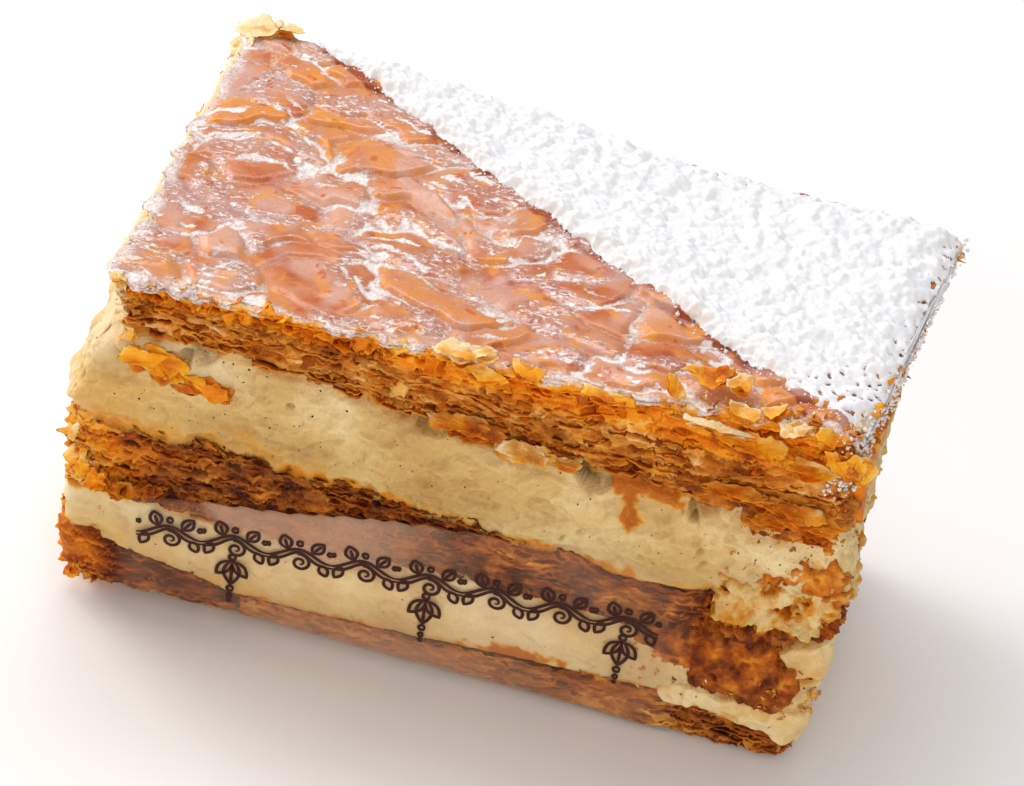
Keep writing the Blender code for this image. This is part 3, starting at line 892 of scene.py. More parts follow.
def tornLeaves(slab, label, look):
    seed, count = wallPlans[slab["name"]]["seed"] + 500, slab["count"]
    random = np.random.default_rng(seed)
    leaves, share, (reach, showing, thick, toneRow, glowRow) = leafRows(slab["name"], random)
    toneRow = toneRow + random.uniform(-0.1, 0.1, (leaves, 1))
    rows = np.arange(leaves)[:, None]
    rim = rimOf(slab)
    spots = rim[None] + stacked(0 * rows, 0 * rows, rows * leafApart)
    wander = 0.8 * swell(rim, 16, seed) + 0.5 * swell(spots, 6, seed + 1)
    wander = wander + 0.3 * swell(spots, 2.4, seed + 14)
    tall = slab["high"] - slab["low"]
    level = share + wander / tall * ease(0, 0.15, np.minimum(share, 1 - share))
    level = np.minimum(level, 0.93)
    out, curl = leafEdges(slab, spots, share, reach, showing, seed)
    depth, rise = leafSection["depth"], leafSection["rise"]
    points = besideWall(slab, np.repeat(level[:, None], len(depth), 1),
                        out[:, None] - depth[None, :, None])
    bend = np.clip(1 - depth / 1.6, 0, 1)[None, :, None] ** 2
    thin = thick * (0.8 + 0.5 * swell(spots, 2.5, seed + 12))
    points[..., 2] += thin[:, None] * rise[None, :, None] + curl[:, None] * bend
    points[..., 2] -= 0.3 * depth[None, :, None]
    points = pressed(points)
    tone, glow = warmth(slab, level)
    tone = 0.5 * tone + 0.5 * toneRow + 0.2 * swell(spots, 4.0, seed + 10)
    glow = np.clip(0.4 * glow + 0.6 * glowRow + 0.25 * swell(spots, 9.0, seed + 11), 0, 1)
    tone = tone[:, None] + leafSection["tone"][None, :, None] + 0 * points[..., 0]
    glow = glow[:, None] + 0 * points[..., 0]
    one = gridFaces(len(depth), count, closedColumns=True, closedRows=True)
    faces = (one[None] + (np.arange(leaves) * len(depth) * count)[:, None, None]).reshape(-1, 4)
    makePiece(label, points, [faces], look, slab["name"],
              {"tone": tone, "glow": glow, "dust": dusting(slab, points)}, smooth=False)


for level in ("bottom", "middle", "top"):
    layeredWall(slabs["pastry_" + level], level + "PastryStrata", looks["strata"])
    tornLeaves(slabs["pastry_" + level], level + "PastryLeaves", looks["leaves"])
print("pastry made")


# loose flakes, laid by a scatter tree


def scatterTree():
    # points carry turn, size and kind; every shape named in the collection can be picked
    tree = bpy.data.node_groups.new("scatterShapes", "GeometryNodeTree")
    for name, kind in (("Points", "Geometry"), ("Shapes", "Collection"), ("Unevenness", "Float"),
                       ("Seed", "Int"), ("Material", "Material")):
        tree.interface.new_socket(name, in_out="INPUT", socket_type="NodeSocket" + kind)
    tree.interface.new_socket("Geometry", in_out="OUTPUT", socket_type="NodeSocketGeometry")
    given = addNode(tree, "NodeGroupInput").outputs
    shapes = addNode(tree, "GeometryNodeCollectionInfo", {
        "Collection": given["Shapes"], "Separate Children": True, "Reset Children": True})
    turn, size, kind = (
        addNode(tree, "GeometryNodeInputNamedAttribute", {"Name": name},
                data_type=form).outputs["Attribute"]
        for name, form in (("turn", "FLOAT_VECTOR"), ("size", "FLOAT_VECTOR"), ("kind", "INT")))
    low, high = (mathNode(tree, way, 1.0, given["Unevenness"]) for way in ("SUBTRACT", "ADD"))
    vary = addNode(tree, "FunctionNodeRandomValue", {2: low, 3: high, "Seed": given["Seed"]},
                   data_type="FLOAT")
    scale = addNode(tree, "ShaderNodeVectorMath", {0: size, "Scale": vary.outputs[1]},
                    operation="SCALE")
    turned = addNode(tree, "FunctionNodeEulerToRotation", {"Euler": turn})
    laid = addNode(tree, "GeometryNodeInstanceOnPoints", {
        "Points": given["Points"], "Instance": shapes.outputs[0], "Pick Instance": True,
        "Instance Index": kind, "Rotation": turned.outputs[0], "Scale": scale.outputs[0]})
    real = addNode(tree, "GeometryNodeRealizeInstances", {"Geometry": laid.outputs[0]})
    soft = addNode(tree, "GeometryNodeSetShadeSmooth", {"Geometry": real.outputs[0]})
    done = addNode(tree, "GeometryNodeSetMaterial", {"Geometry": soft.outputs[0],
                                                     "Material": given["Material"]})
    addNode(tree, "NodeGroupOutput", {"Geometry": done.outputs[0]})
    return tree


scatter = scatterTree()


def shapeCollection(name, meshes):
    group = bpy.data.collections.new(name)
    scene.collection.children.link(group)
    for i, (points, faces) in enumerate(meshes):
        mesh = bpy.data.meshes.new(f"{name}{i:02d}")
        faces = facingOut(points, [np.asarray(f) for f in faces])
        mesh.from_pydata((points * mm).tolist(), [], [tuple(map(int, f)) for g in faces for f in g])
        group.objects.link(bpy.data.objects.new(mesh.name, mesh))
    return group


def scattered(label, spots, shapes, look, seed, uneven=0.2, node=None, kept=None):
    if kept is not None:
        spots = {key: np.asarray(values)[kept] for key, values in spots.items()}
    mesh = bpy.data.meshes.new(label + "Points")
    mesh.vertices.add(len(spots["place"]))
    mesh.vertices.foreach_set("co", (np.asarray(spots["place"]) * mm).astype(np.float32).ravel())
    for name, form in (("turn", "FLOAT_VECTOR"), ("size", "FLOAT_VECTOR"), ("kind", "INT"),
                       ("tone", "FLOAT"), ("glow", "FLOAT")):
        if name in spots:
            setMark(mesh, name, spots[name], form)
    holder = bpy.data.objects.new(label, mesh)
    scene.collection.objects.link(holder)
    modifier = holder.modifiers.new("scatter", "NODES")
    modifier.node_group = scatter
    values = {"Shapes": shapes, "Unevenness": uneven, "Seed": seed, "Material": look}
    for item in scatter.interface.items_tree:
        if item.item_type == "SOCKET" and item.name in values:
            modifier[item.identifier] = values[item.name]
    bpy.context.view_layer.update()
    graph = bpy.context.evaluated_depsgraph_get()
    made = bpy.data.meshes.new_from_object(holder.evaluated_get(graph))
    holder.modifiers.remove(modifier)
    holder.data = made
    made.name = label
    dress(holder, node)
    return holder


def clearShapes(group):
    for shape in list(group.objects):
        bpy.data.objects.remove(shape)
    bpy.data.collections.remove(group)


def flakeShape(seed, around=12, thick=0.07, bend=0.22):  # about 1 mm long
    angle = np.linspace(0, 2 * math.pi, around, endpoint=False)
    ring = stacked(np.cos(angle) * 2, np.sin(angle) * 2, 0.0)
    jag = 1 + 0.5 * swell(ring, 1.3, seed) + 0.45 * swell(ring, 0.6, seed + 1)
    edge = stacked(np.cos(angle) * 0.5 * jag, np.sin(angle) * 0.32 * jag, 0.0)
    rings = [edge * (share, share, 0) + (0, 0, lift)
             for share, lift in ((0.55, -thick / 2), (1.0, 0.0), (0.55, thick / 2))]
    points = np.concatenate(rings + [[(0, 0, -thick / 2), (0, 0, thick / 2)]])
    points[:, 2] += bend * swell(points * (1, 1, 0) + seed, 0.55, seed + 2) + bend * points[:, 0] ** 2
    return points, tubeFaces(len(rings), around)


flakePlan = {"kinds": 8, "pastry_top": 460, "pastry_middle": 380, "pastry_bottom": 220,
             "length": (0.9, 3.4), "tilt": 0.45}


def wallFlakes(slab, label, count, seed):
    random = np.random.default_rng(seed)
    x, y = slab["plan"][:, 0], slab["plan"][:, 1]
    seen = 0.25 + 0.75 * ease(-0.3, 0.3, np.maximum(-slab["normal"][:, 1], slab["normal"][:, 0]))
    seen = np.maximum(seen, ease(-0.3, 0.3, -slab["normal"][:, 0]))
    column = random.choice(slab["count"], count, p=seen / seen.sum())
    share = random.beta(0.9, 0.9, count) * 0.94 + 0.03
    if slab["name"] == "pastry_top":
        often, band = 0.35, (0.82, 1.0)
    else:  # crumbs pressed into the cream along the edges
        often, band = 0.4, (0.9, 1.05)
    share = np.where(random.random(count) < often, random.uniform(*band, count), share)
    index = np.clip((share - slab["shares"][0]) / np.diff(slab["shares"][:2])[0], 0,
                    len(slab["shares"]) - 1.01).astype(int)
    length = random.uniform(*flakePlan["length"], count) * random.uniform(0.5, 1, count)
    out = slab["lean"][index, column] + random.uniform(-0.9, 0.25, count) - 0.15 * length
    place = stacked(x[column] + slab["normal"][column, 0] * out,
                    y[column] + slab["normal"][column, 1] * out,
                    slab["low"][column] + (slab["high"] - slab["low"])[column] * share)
    heading = np.arctan2(slab["normal"][column, 0], -slab["normal"][column, 1])
    tilt = flakePlan["tilt"]
    turn = stacked(random.normal(0.0, tilt, count), random.normal(0, tilt * 0.6, count),
                   heading + random.normal(0, 0.5, count))
    ends = ease(-46, -54, x[column])
    turn[:, 0] += ends * random.uniform(-1.2, 1.2, count)
    size = stacked(length, length * random.uniform(0.8, 1.5, count),
                   random.uniform(0.7, 1.3, count) * np.maximum(length * 0.6, 1.0))
    safe = pressed(place)
    free = np.abs(safe[:, 1] - place[:, 1]) < 0.02
    within = (x[column] > filmXs[0] - 2) & (x[column] < filmXs[-1] + 2) & (
        place[:, 2] < np.maximum(filmTop("front", x[column]), filmTop("back", x[column])) + 1)
    tone, glow = warmth(slab, share[:, None] + 0 * x[None])
    picked = free & ~(within & (np.abs(slab["normal"][column, 1]) > 0.6))
    spots = {"place": safe, "turn": turn, "size": size,
             "kind": random.integers(0, flakePlan["kinds"], count),
             "tone": tone[np.arange(count), column] + random.normal(0.08, 0.12, count),
             "glow": np.clip(glow[np.arange(count), column] + random.normal(0.1, 0.2, count), 0, 1)}
    scattered(label, spots, flakeShapes, looks["leaves"], seed, 0.2, slab["name"],
              picked)


flakeShapes = shapeCollection("flakeShape", [flakeShape(700 + 5 * i)
                                             for i in range(flakePlan["kinds"])])
for i, level in enumerate(("top", "middle", "bottom")):
    nodeName = "pastry_" + level
    wallFlakes(slabs[nodeName], level + "PastryFlakes", flakePlan[nodeName], 711 + i)
print("flakes made")


# single torn sheets that can be told apart

# place, length, width, turn about x, y, z in degrees, bend, tone, glow
singleSheets = {
    "flakeOnCream": [
        ((-45.0, -32.6, 44.6), 12.5, 5.6, (62, 14, 4), 0.9, 0.62, 1.2),
        ((-37.8, -33.0, 42.2), 8.5, 3.6, (70, 18, -6), 0.8, 0.42, 1.1),
        ((-49.6, -31.7, 46.6), 4.4, 2.6, (75, -60, 8), 0.4, 0.85, 0.95),
        ((-41.0, -33.2, 41.6), 5.0, 1.5, (60, 8, 0), 0.3, 0.3, 0.8),
    ],
    "topLooseFlakes": [
        ((-5.0, -32.2, 56.0), 10.5, 3.8, (16, -4, 3), 0.8, 0.9, 0.3),
        ((3.4, -32.8, 55.4), 6.0, 2.8, (24, 8, -12), 0.7, 0.6, 0.9),
        ((-1.5, -33.7, 54.2), 7.0, 2.4, (50, 4, 0), 0.6, 0.65, 0.9),
        ((27.2, -27.2, 57.2), 8.6, 5.0, (6, -8, 12), 1.0, 0.6, 0.6),
        ((30.4, -28.6, 57.2), 4.6, 3.0, (16, 10, 40), 0.7, 0.7, 0.5),
        ((22.4, -31.2, 56.8), 5.4, 2.0, (46, 62, -20), 0.5, 0.75, 0.7),
        ((31.5, -32.4, 56.0), 6.4, 3.2, (14, 10, -16), 0.8, 0.75, 0.5),
        ((35.4, -31.6, 56.2), 4.0, 2.8, (10, -14, 30), 0.7, 0.7, 0.6),
        ((38.4, -33.2, 55.8), 5.4, 3.8, (12, -6, 6), 0.8, 0.9, 0.2),
        ((42.8, -33.0, 55.2), 4.2, 3.0, (44, 14, 20), 0.8, 0.6, 0.8),
        ((40.6, -31.0, 56.2), 3.2, 2.4, (10, 20, 70), 0.6, 0.7, 0.6),
        ((28.6, -34.0, 53.8), 9.0, 2.2, (12, 2, -3), 0.5, 0.98, 0.15),
        ((34.0, -33.8, 51.8), 12.0, 3.4, (26, 3, -2), 0.6, 0.6, 1.0),
        ((41.0, -34.0, 50.4), 9.0, 2.6, (22, 4, 2), 0.6, 0.7, 0.7),
        ((14.0, -32.8, 54.2), 9.0, 2.2, (14, 3, 0), 0.5, 0.6, 1.0),
    ],
    "cornerFlakes": [
        ((-48.8, 33.2, 59.6), 8.0, 5.4, (8, -12, 18), 0.8, 0.95, 0.3),
        ((-44.6, 34.4, 59.8), 7.0, 4.2, (-10, 6, -12), 0.7, 0.9, 0.45),
        ((-50.8, 29.4, 58.4), 6.4, 3.6, (4, -24, 70), 0.6, 0.95, 0.25),
        ((-50.9, 12.0, 56.6), 7.0, 2.4, (0, -20, 86), 0.5, 0.95, 0.2),
        ((-50.7, -6.0, 56.2), 8.4, 2.6, (0, -16, 92), 0.5, 0.95, 0.2),
        ((-50.8, -20.0, 56.0), 7.0, 2.6, (0, -18, 88), 0.5, 0.95, 0.25),
        ((57.6, 13.0, 57.6), 3.6, 2.6, (0, 24, 80), 0.5, 0.9, 0.3),
    ],
    "leftFrills": [
        ((-57.2, -23.0, 29.6), 6.4, 5.0, (50, 60, -70), 1.2, 0.95, 0.6),
        ((-56.8, -27.8, 27.6), 6.6, 5.4, (60, 30, -46), 1.3, 0.95, 0.65),
        ((-55.2, -30.8, 24.6), 6.4, 5.4, (74, 14, -30), 1.2, 0.8, 0.85),
        ((-57.2, -25.5, 22.6), 6.0, 5.0, (70, 40, -50), 1.3, 0.9, 0.7),
        ((-52.2, -32.0, 22.8), 5.6, 4.6, (72, -10, -14), 1.1, 0.55, 0.85),
        ((-49.4, -32.2, 21.6), 4.8, 3.0, (70, 12, -6), 1.2, 0.4, 0.6),
        ((-45.4, -32.6, 22.8), 4.6, 2.6, (66, -8, 0), 1.1, 0.34, 0.5),
        ((-56.8, -29.6, 14.4), 4.4, 3.2, (70, 40, -50), 0.9, 0.8, 0.7),
        ((-57.2, -29.2, 9.4), 5.2, 3.8, (74, 34, -52), 1.0, 0.6, 0.9),
        ((-56.4, -29.8, 4.4), 5.0, 3.8, (72, 20, -44), 1.0, 0.5, 0.95),
        ((-57.6, -12.0, 26.8), 7.4, 5.6, (60, 70, -80), 1.2, 0.75, 0.9),
        ((-57.6, 2.0, 25.6), 6.8, 5.2, (64, 80, -88), 1.2, 0.72, 0.85),
        ((-57.0, 16.0, 27.0), 7.0, 5.4, (64, 76, -96), 1.2, 0.75, 0.85),
        ((-57.0, -6.0, 5.0), 6.0, 4.6, (70, 70, -86), 1.1, 0.6, 0.9),
    ],
    "overhangingLeaves": [
        ((-3.0, -32.2, 44.2), 13.0, 3.2, (40, 5, 0), 0.5, 0.42, 0.5),
        ((5.0, -32.8, 42.8), 10.0, 3.6, (50, 2, 4), 0.4, 0.7, 0.1),
        ((10.4, -32.8, 42.2), 5.0, 2.0, (40, 4, 0), 0.4, 0.6, 0.2),
        ((33.0, -33.2, 43.6), 12.0, 2.8, (30, 4, -2), 0.5, 0.5, 0.6),
        ((40.0, -33.0, 42.2), 14.0, 3.0, (32, 4, -2), 0.5, 0.5, 0.7),
        ((43.0, -32.6, 40.6), 11.0, 3.0, (30, 4, 2), 0.5, 0.46, 0.7),
        ((38.6, -32.8, 40.0), 8.0, 2.6, (34, 3, 0), 0.5, 0.42, 0.6),
        ((44.6, -32.2, 38.6), 7.0, 2.6, (30, 4, 6), 0.5, 0.4, 0.7),
    ],
    "cornerFan": [
        ((47.6, -32.0, 50.6), 6.5, 3.4, (82, 52, 20), 0.5, 0.6, 1.0),
        ((48.6, -31.0, 49.8), 6.5, 3.4, (84, 60, 34), 0.5, 0.66, 0.95),
        ((46.2, -32.6, 50.8), 6.8, 3.2, (80, 44, 10), 0.5, 0.5, 1.0),
        ((49.4, -29.8, 48.6), 6.0, 3.4, (86, 66, 50), 0.5, 0.6, 0.9),
        ((44.6, -33.0, 51.4), 6.4, 3.0, (76, 34, 4), 0.5, 0.56, 1.0),
    ],
}


def tornSheet(length, width, bend, seed, around, ruffle, rings=6, thick=0.14):
    random = np.random.default_rng(seed)
    sides = int(random.integers(5, 9))
    angle = (np.arange(sides) + random.uniform(-0.35, 0.35, sides)) * 2 * math.pi / sides
    reach = random.uniform(0.66, 1.14, sides)
    corner = stacked(np.cos(angle) * reach, np.sin(angle) * reach) * (length / 2, width / 2)
    corner = np.concatenate([corner, corner[:1]])
    travel = travelled(corner)
    ring = blurred(placed(corner, travel, np.arange(around) * travel[-1] / around), around / 400)
    walk = stacked(ring[:, 0], ring[:, 1], seed * 1.7)
    fray = 0.42 * rough(walk, 2.6, 4, seed, 0.6) - 0.5 * ease(0.5, 0.62, swell(walk, 2.0, seed + 6))
    edge = ring + outwardOf(ring) * (fray * min(1, width / 3.5))[:, None]
    shares = 1 - np.linspace(0, 1, rings + 1)[:-1] ** 1.3
    level = stacked(edge[None, :, 0] * shares[:, None], edge[None, :, 1] * shares[:, None], 0.0)
    half = thick / 2 * (1 - shares[:, None] ** 5)
    lift = (0.8 * swell(level + seed, max(width, 2.0) * 1.3, seed + 3) + 0.25 * shares[:, None] ** 2
            + ruffle * (0.4 * swell(level, 1.8, seed + 4) + 0.16 * swell(level, 0.8, seed + 5)))
    lift = lift * bend
    middle = lift[-1].mean()
    upper, lower = level.copy(), level[1:].copy()
    upper[..., 2] = lift + half
    lower[..., 2] = (lift - half)[1:]
    loops = np.concatenate([upper[::-1], lower])
    points = np.concatenate([loops.reshape(-1, 3), [(0, 0, middle + thick / 2),
                                                    (0, 0, middle - thick / 2)]])
    inward = np.concatenate([np.repeat(np.concatenate([shares[::-1], shares[1:]]), around), [0, 0]])
    return points, tubeFaces(len(loops), around), 1 - inward


def singlePieces():
    seed = 900
    for label, sheets in singleSheets.items():
        points, groups, tones, glows, start = [], [[], [], []], [], [], 0
        ruffle = 3.0 if label == "leftFrills" else 0.9
        for place, length, width, turn, bend, tone, glow in sheets:
            spin = np.array(Euler([math.radians(t) for t in turn]).to_matrix())
            around = 74 if length < 14 else 116
            for under in range(3):  # the leaf and two smaller ones that cling below it
                seed += 13
                share = 1 - 0.1 * under
                mesh, faces, inward = tornSheet(length * share, width * share, bend, seed, around,
                                                ruffle)
                across = mesh[:, 1] / width  # paler toward the back, orange at the front
                mesh = (mesh - (0, 0.2 * under, 0.26 * under)) @ spin.T + place
                faces = facingOut(mesh - mesh.mean(0), faces)
                for group, made in zip(groups, faces):
                    group.append(made + start)
                start += len(mesh)
                points.append(mesh)
                # painted shade: the smaller leaves below are darker, in the shade of the one above
                tones.append(tone - 0.15 * under + 0.25 * across + 0.15 * ease(0.2, 0.0, inward)
                             + 0.2 * rough(mesh, 2.4, 3, seed))
                glows.append(glow - 0.7 * across + 0.2 * under + 0.3 * swell(mesh, 3.0, seed + 1))
        makePiece(label, np.concatenate(points), [np.concatenate(g) for g in groups],
                  looks["leaves"], None,
                  {"tone": np.concatenate(tones), "glow": np.concatenate(glows)}, outward=False)


singlePieces()
print("single sheets made")


# what clings to the sides: ledges, soaked chunks, cream smears, a smooth hanging leaf

# x and y range on a slab's wall, how far it stands out, and its edges as (x, z) points
wallPatches = {
    "ledges": {
        "on": "cream_upper", "way": "strata", "x": (25, 60), "y": (-60, -27),
        "lift": 0.75, "rows": 34, "tone": 0.38, "glow": 0.35,
        "low": [(25, 41.5), (29, 39.8), (34, 38.6), (38, 37.2), (43, 36.4), (47, 36.6), (50, 38)],
        "high": [(25, 43), (50, 42.5)]},
    "cornerCrust": {
        "on": "cream_lower", "way": "strata", "x": (-60, -31), "y": (-60, -14),
        "lift": 1.0, "rows": 40, "tone": 0.0, "glow": 0.2,
        "low": [(-60, 5), (-31, 4.6)],
        "high": [(-60, 12.6), (-54, 12.2), (-48, 11), (-42, 9.6), (-36, 8.2), (-31, 6.6)]},
    "soakedChunk": {
        "on": "cream_lower", "way": "crumb", "x": (23, 60), "y": (-60, -29),
        "lift": 0.9, "rows": 52, "tone": 0.22, "glow": 0.38,
        "low": [(23, 17.6), (26.9, 13.8), (33, 12.8), (34.4, 9.9), (44.2, 9.4),
                (45.8, 11), (46.8, 15), (48, 18)],
        "high": [(23, 18), (28, 19.4), (37, 21), (42.4, 20.4), (43.6, 18.2),
                 (46.9, 17.8), (48, 16)]},
    "creamSmears": {
        "on": "pastry_middle", "way": "roughCream", "x": (33, 60), "y": (-60, 4),
        "lift": 0.8, "rows": 56,
        "low": [(33, 22.5), (37, 21.6), (41, 21.8), (45, 22.8), (49, 24), (53, 25), (57, 29)],
        "high": [(33, 30), (57, 30.5)]},
    "creamDrip": {
        "on": "pastry_bottom", "way": "smoothCream", "x": (26, 60), "y": (-60, -2),
        "lift": 0.9, "rows": 34,
        "low": [(26, 9.6), (30, 6.8), (34, 6), (44, 5.6), (47, 3.2), (49.5, 3),
                (52, 5.5), (55, 10)],
        "high": [(26, 9.8), (55, 10.2)]},
    "hangingLeaf": {
        "on": "cream_upper", "way": "leaf", "x": (47.2, 57), "y": (-26.5, -8),
        "lift": 0.8, "rows": 60, "tone": 0.4, "glow": 0.6,
        "low": [(48.0, 40), (48.6, 34.5), (49.3, 31.5), (50, 34.5), (50.8, 37),
                (51.6, 40.5), (53.4, 44)],
        "high": [(48.0, 41.5), (49, 45.5), (50.6, 46), (53, 44)]},
    "crustLumps": {
        "on": "cream_upper", "way": "crumb", "x": (39, 50), "y": (-60, -27),
        "lift": 0.55, "rows": 44, "tone": 0.42, "glow": 0.5,
        "low": [(39, 31), (42, 29.6), (56, 29)],
        "high": [(39, 31), (41.5, 32.6), (44, 34.6), (46, 33.2), (48, 35.4), (50, 33)]},
    "crumbLine": {
        "on": "pastry_middle", "way": "crumb", "x": (31, 60), "y": (-60, -6),
        "lift": 0.95, "rows": 30, "tone": 0.22, "glow": 0.3,
        "low": [(31, 19.4), (37, 19.8), (41, 20.4), (45, 21.6), (49, 22.8), (53, 24)],
        "high": [(31, 21), (37, 21.8), (41, 22.6), (45, 23.6), (49, 24.8), (53, 26)]},
    "cornerCream": {
        "on": "pastry_middle", "way": "smoothCream", "x": (42.5, 60), "y": (-60, -22),
        "lift": 0.7, "rows": 34,
        "low": [(42, 19), (46, 16.6), (53, 16.4)],
        "high": [(42, 19), (44.6, 20.6), (48, 21.6), (51, 21.6), (53, 20)]},
}
# what each way is made of: look, slot, and whether it is shaded smooth
patchWays = {"strata": ("strata", "puff_pastry", False), "crumb": ("strata", "puff_pastry", False),
             "leaf": ("leaves", "puff_pastry", True),
             "roughCream": ("creamUpper", "vanilla_cream", True),
             "smoothCream": ("creamLower", "vanilla_cream", True)}


def patchRelief(plan, part, points, share, away, seed):  # how far it stands out, tone and glow
    x, z = part["plan"][:, 0], points[..., 2]
    tone, glow = plan.get("tone", 0.0), plan.get("glow", 0.0)
    if plan["way"] == "strata":
        relief, hollow, leafAt, _ = strataRelief(part, points, share, wallPlans["pastry_top"])
        # painted shade: darker in the hollows between the leaves
        tone = tone + 0.14 - 0.4 * hollow + 0.2 * swell(leafAt, 3.0, seed + 1)
        # painted light: paler and more glowing at the left end, where the light from the left falls
        paler = ease(-46, -55, x)
        return np.maximum(relief + 0.35, 0.1 - plan["lift"]), tone + 0.25 * paler, glow + 0.5 * paler
    if plan["way"] == "crumb":
        near, _, number = cells(points + 0.4 * drift(points, 1.5, seed + 2), 1.9, seed + 4)
        pores = ease(0.45, 0.15, near) * (number > 0.35)
        # painted shade: darker in the pores sunk into the crumb
        tone = tone + 0.16 * (number - 0.4) - 0.24 * pores + 0.24 * rough(points, 2.4, 3, seed + 6)
        return (0.6 * rough(points, 3.6, 4, seed + 5, 0.6) - 0.5 * pores, tone,
                glow + 0.3 * swell(points, 2.5, seed + 7))
    if plan["way"] == "leaf":
        relief = 0.45 * swell(points * (1, 1, 0.6), 7.0, seed + 2) + 0.1 * swell(points, 2, seed + 3)
        tone = tone + 0.3 * ease(30, 44, z) - 0.2 + 0.3 * rough(points, 5.0, 3, seed + 4)
        return relief, tone, glow + 0.45 * ease(1.0, 0.0, away)
    pockets = ease(0.1, 0.9, swell(points, 3.0, seed + 2) + 0.35 * swell(points, 1.1, seed + 3))
    stain = 0.8 * pockets + 0.6 * ease(-0.5, 0.8, rough(points, 3.0, 4, seed + 5, 0.6))
    stain = stain + 0.6 * ease(0.9, 0.0, away)
    if plan["way"] == "smoothCream":
        return 0.6 * rough(points, 4.5, 3, seed + 4, 0.4) - 0.35 * pockets, 0.3 * stain, glow
    return 0.8 * rough(points, 3.0, 4, seed + 4, 0.6) - 1.2 * pockets, 0.05 + 0.8 * stain, glow


def wallPatch(label, plan, seed):
    slab, way = slabs[plan["on"]], plan["way"]
    part = partOf(slab, columnsIn(slab, plan))
    x = part["plan"][:, 0]
    low, high = (np.interp(x, *zip(*plan[key])) for key in ("low", "high"))
    z = low - 1 + (high - low + 2) * np.linspace(0, 1, plan["rows"])[:, None]
    share = (z - part["low"]) / (part["high"] - part["low"])
    points = besideWall(part, share, 0.0)
    travel = travelled(part["plan"])
    ends = np.minimum(travel, travel[-1] - travel) + 0 * z
    away = np.minimum(np.minimum(z - low, high - z), ends)  # mm inside the torn outline
    if way == "smoothCream":
        away = away + 1.2 * rough(points, 5.0, 2, seed)
    else:
        away = away + 1.1 * rough(points, 3.4, 4, seed, 0.6) * (0.7 if way == "leaf" else 1.0)
    cover = ease(-0.1, 0.45, away)
    relief, tone, glow = patchRelief(plan, part, points, share, away, seed)
    lift = plan["lift"] + (0.8 * ease(40, 30, z) if way == "leaf" else 0)  # the leaf curls away
    out = (lift + relief) * cover - 0.9 * (1 - cover)
    outer = pressed(points + stacked(part["normal"][:, 0] * out, part["normal"][:, 1] * out, 0 * out))
    mesh, faces = closedPatch(outer, pressed(besideWall(part, share, -1.6)))
    tone, glow = (np.concatenate([(value + 0 * z).ravel()] * 2) for value in (tone, glow))
    marks = {"stain": tone, "sunk": 0 * tone} if "Cream" in way else {"tone": tone, "glow": glow}
    look, slot, smooth = patchWays[way]
    makePiece(label, mesh, faces, looks[look], None, marks, smooth=smooth)


for i, (label, plan) in enumerate(wallPatches.items()):
    wallPatch(label, plan, 611 + 10 * i)
print("clinging patches made")


# cream: piped mounds squeezed between the slabs

# foot: mm inwards and down; hollows: x, height share, half width, half height, depth;
# clefts: start and end in x and z, width, depth; stains: x, height share, half width, half height
creamPlans = {
    "cream_upper": {
        "rows": 58, "seed": 201, "lump": 0.75, "fine": 0.16, "tuck": 1.0, "top": 0.8,
        "foot": (0.25, 1.5), "shade": 0.0,
        "hollows": [(-38.9, 0.99, 1.6, 0.13, 1.2), (14.2, 0.91, 2.8, 0.12, 3.2),
                    (29.8, 0.97, 2.0, 0.14, 0.8), (-26.9, 0.72, 0.5, 0.035, 0.8),
                    (-8.0, 0.93, 2.2, 0.06, 1.2), (9.5, 0.42, 3.4, 0.1, 0.5),
                    (-1.0, 0.3, 4.0, 0.07, 0.35), (22.0, 0.3, 3.6, 0.1, 0.4)],
        "clefts": [(27.8, 42.0, 28.4, 37.0, 0.55, 2.4), (28.4, 37.0, 30.6, 30.5, 0.3, 1.1),
                   (-9.6, 45.4, -8.4, 42.4, 0.5, 1.2), (-38.0, 49.0, -41.5, 45.0, 0.8, 2.5)],
        "stains": [(20.4, 0.95, 6.6, 0.15), (19.6, 0.8, 1.4, 0.3), (19.9, 0.66, 1.7, 0.12),
                   (6.0, 0.97, 5.0, 0.06), (-2.0, 0.94, 3.0, 0.05)]},
    "cream_lower": {
        "rows": 44, "seed": 251, "lump": 0.35, "fine": 0.14, "tuck": 1.0, "top": 0.2,
        "foot": (2.6, 0.9), "shade": 0.16,
        "hollows": [(38.0, 0.15, 2.2, 0.12, 1.8)], "clefts": [],
        "stains": [(8.0, 0.05, 7.0, 0.12), (37.0, 0.85, 7.0, 0.3)]},
}


def creamTexture(points, plan):  # lumps, crescents, pores, folds and smears, in mm
    seed = plan["seed"]
    squash = points * (1, 1, 1.5)
    lumps = rough(squash, 7.0, 3, seed) * plan["lump"] + swell(squash, 2.6, seed + 1) * 0.28
    scar = ease(0.2, 0.0, np.abs(swell(points * (1, 1, 1.4), 5.0, seed + 25) - 0.3))
    scar = scar * ease(0.0, 0.4, swell(points, 3.2, seed + 26))  # short crescents
    lumps = lumps - 0.3 * scar
    fine = rough(points, 1.1, 2, seed + 2) * plan["fine"]
    nearest, _, number = cells(points, 2.4, seed + 3)
    pores = -0.5 * ease(0.16, 0.04, nearest) * (number > 0.45)
    folds = -0.3 * ease(0.09, 0.0, np.abs(swell(points * (1, 1, 1.8), 9.0, seed + 7)))
    folds = folds * ease(-0.1, 0.4, swell(points, 11.0, seed + 8))
    smear = 0.16 * swell(points * (1, 1, 3), 3.0, seed + 9)
    marks = ease(0.07, 0.0, np.abs(swell(points * (1, 1, 2.4), 3.6, seed + 21)))
    smear = smear - 0.16 * marks * ease(0.1, 0.5, swell(points, 5.0, seed + 22))
    return lumps + fine + pores + folds + smear, fine + pores + folds + smear, scar


def fromSpot(slab, share, centre, level, width, tall):  # 1 on the rim of an oval on the wall
    return np.sqrt(((slab["plan"][:, 0] - centre) / width) ** 2 + ((share - level) / tall) ** 2)


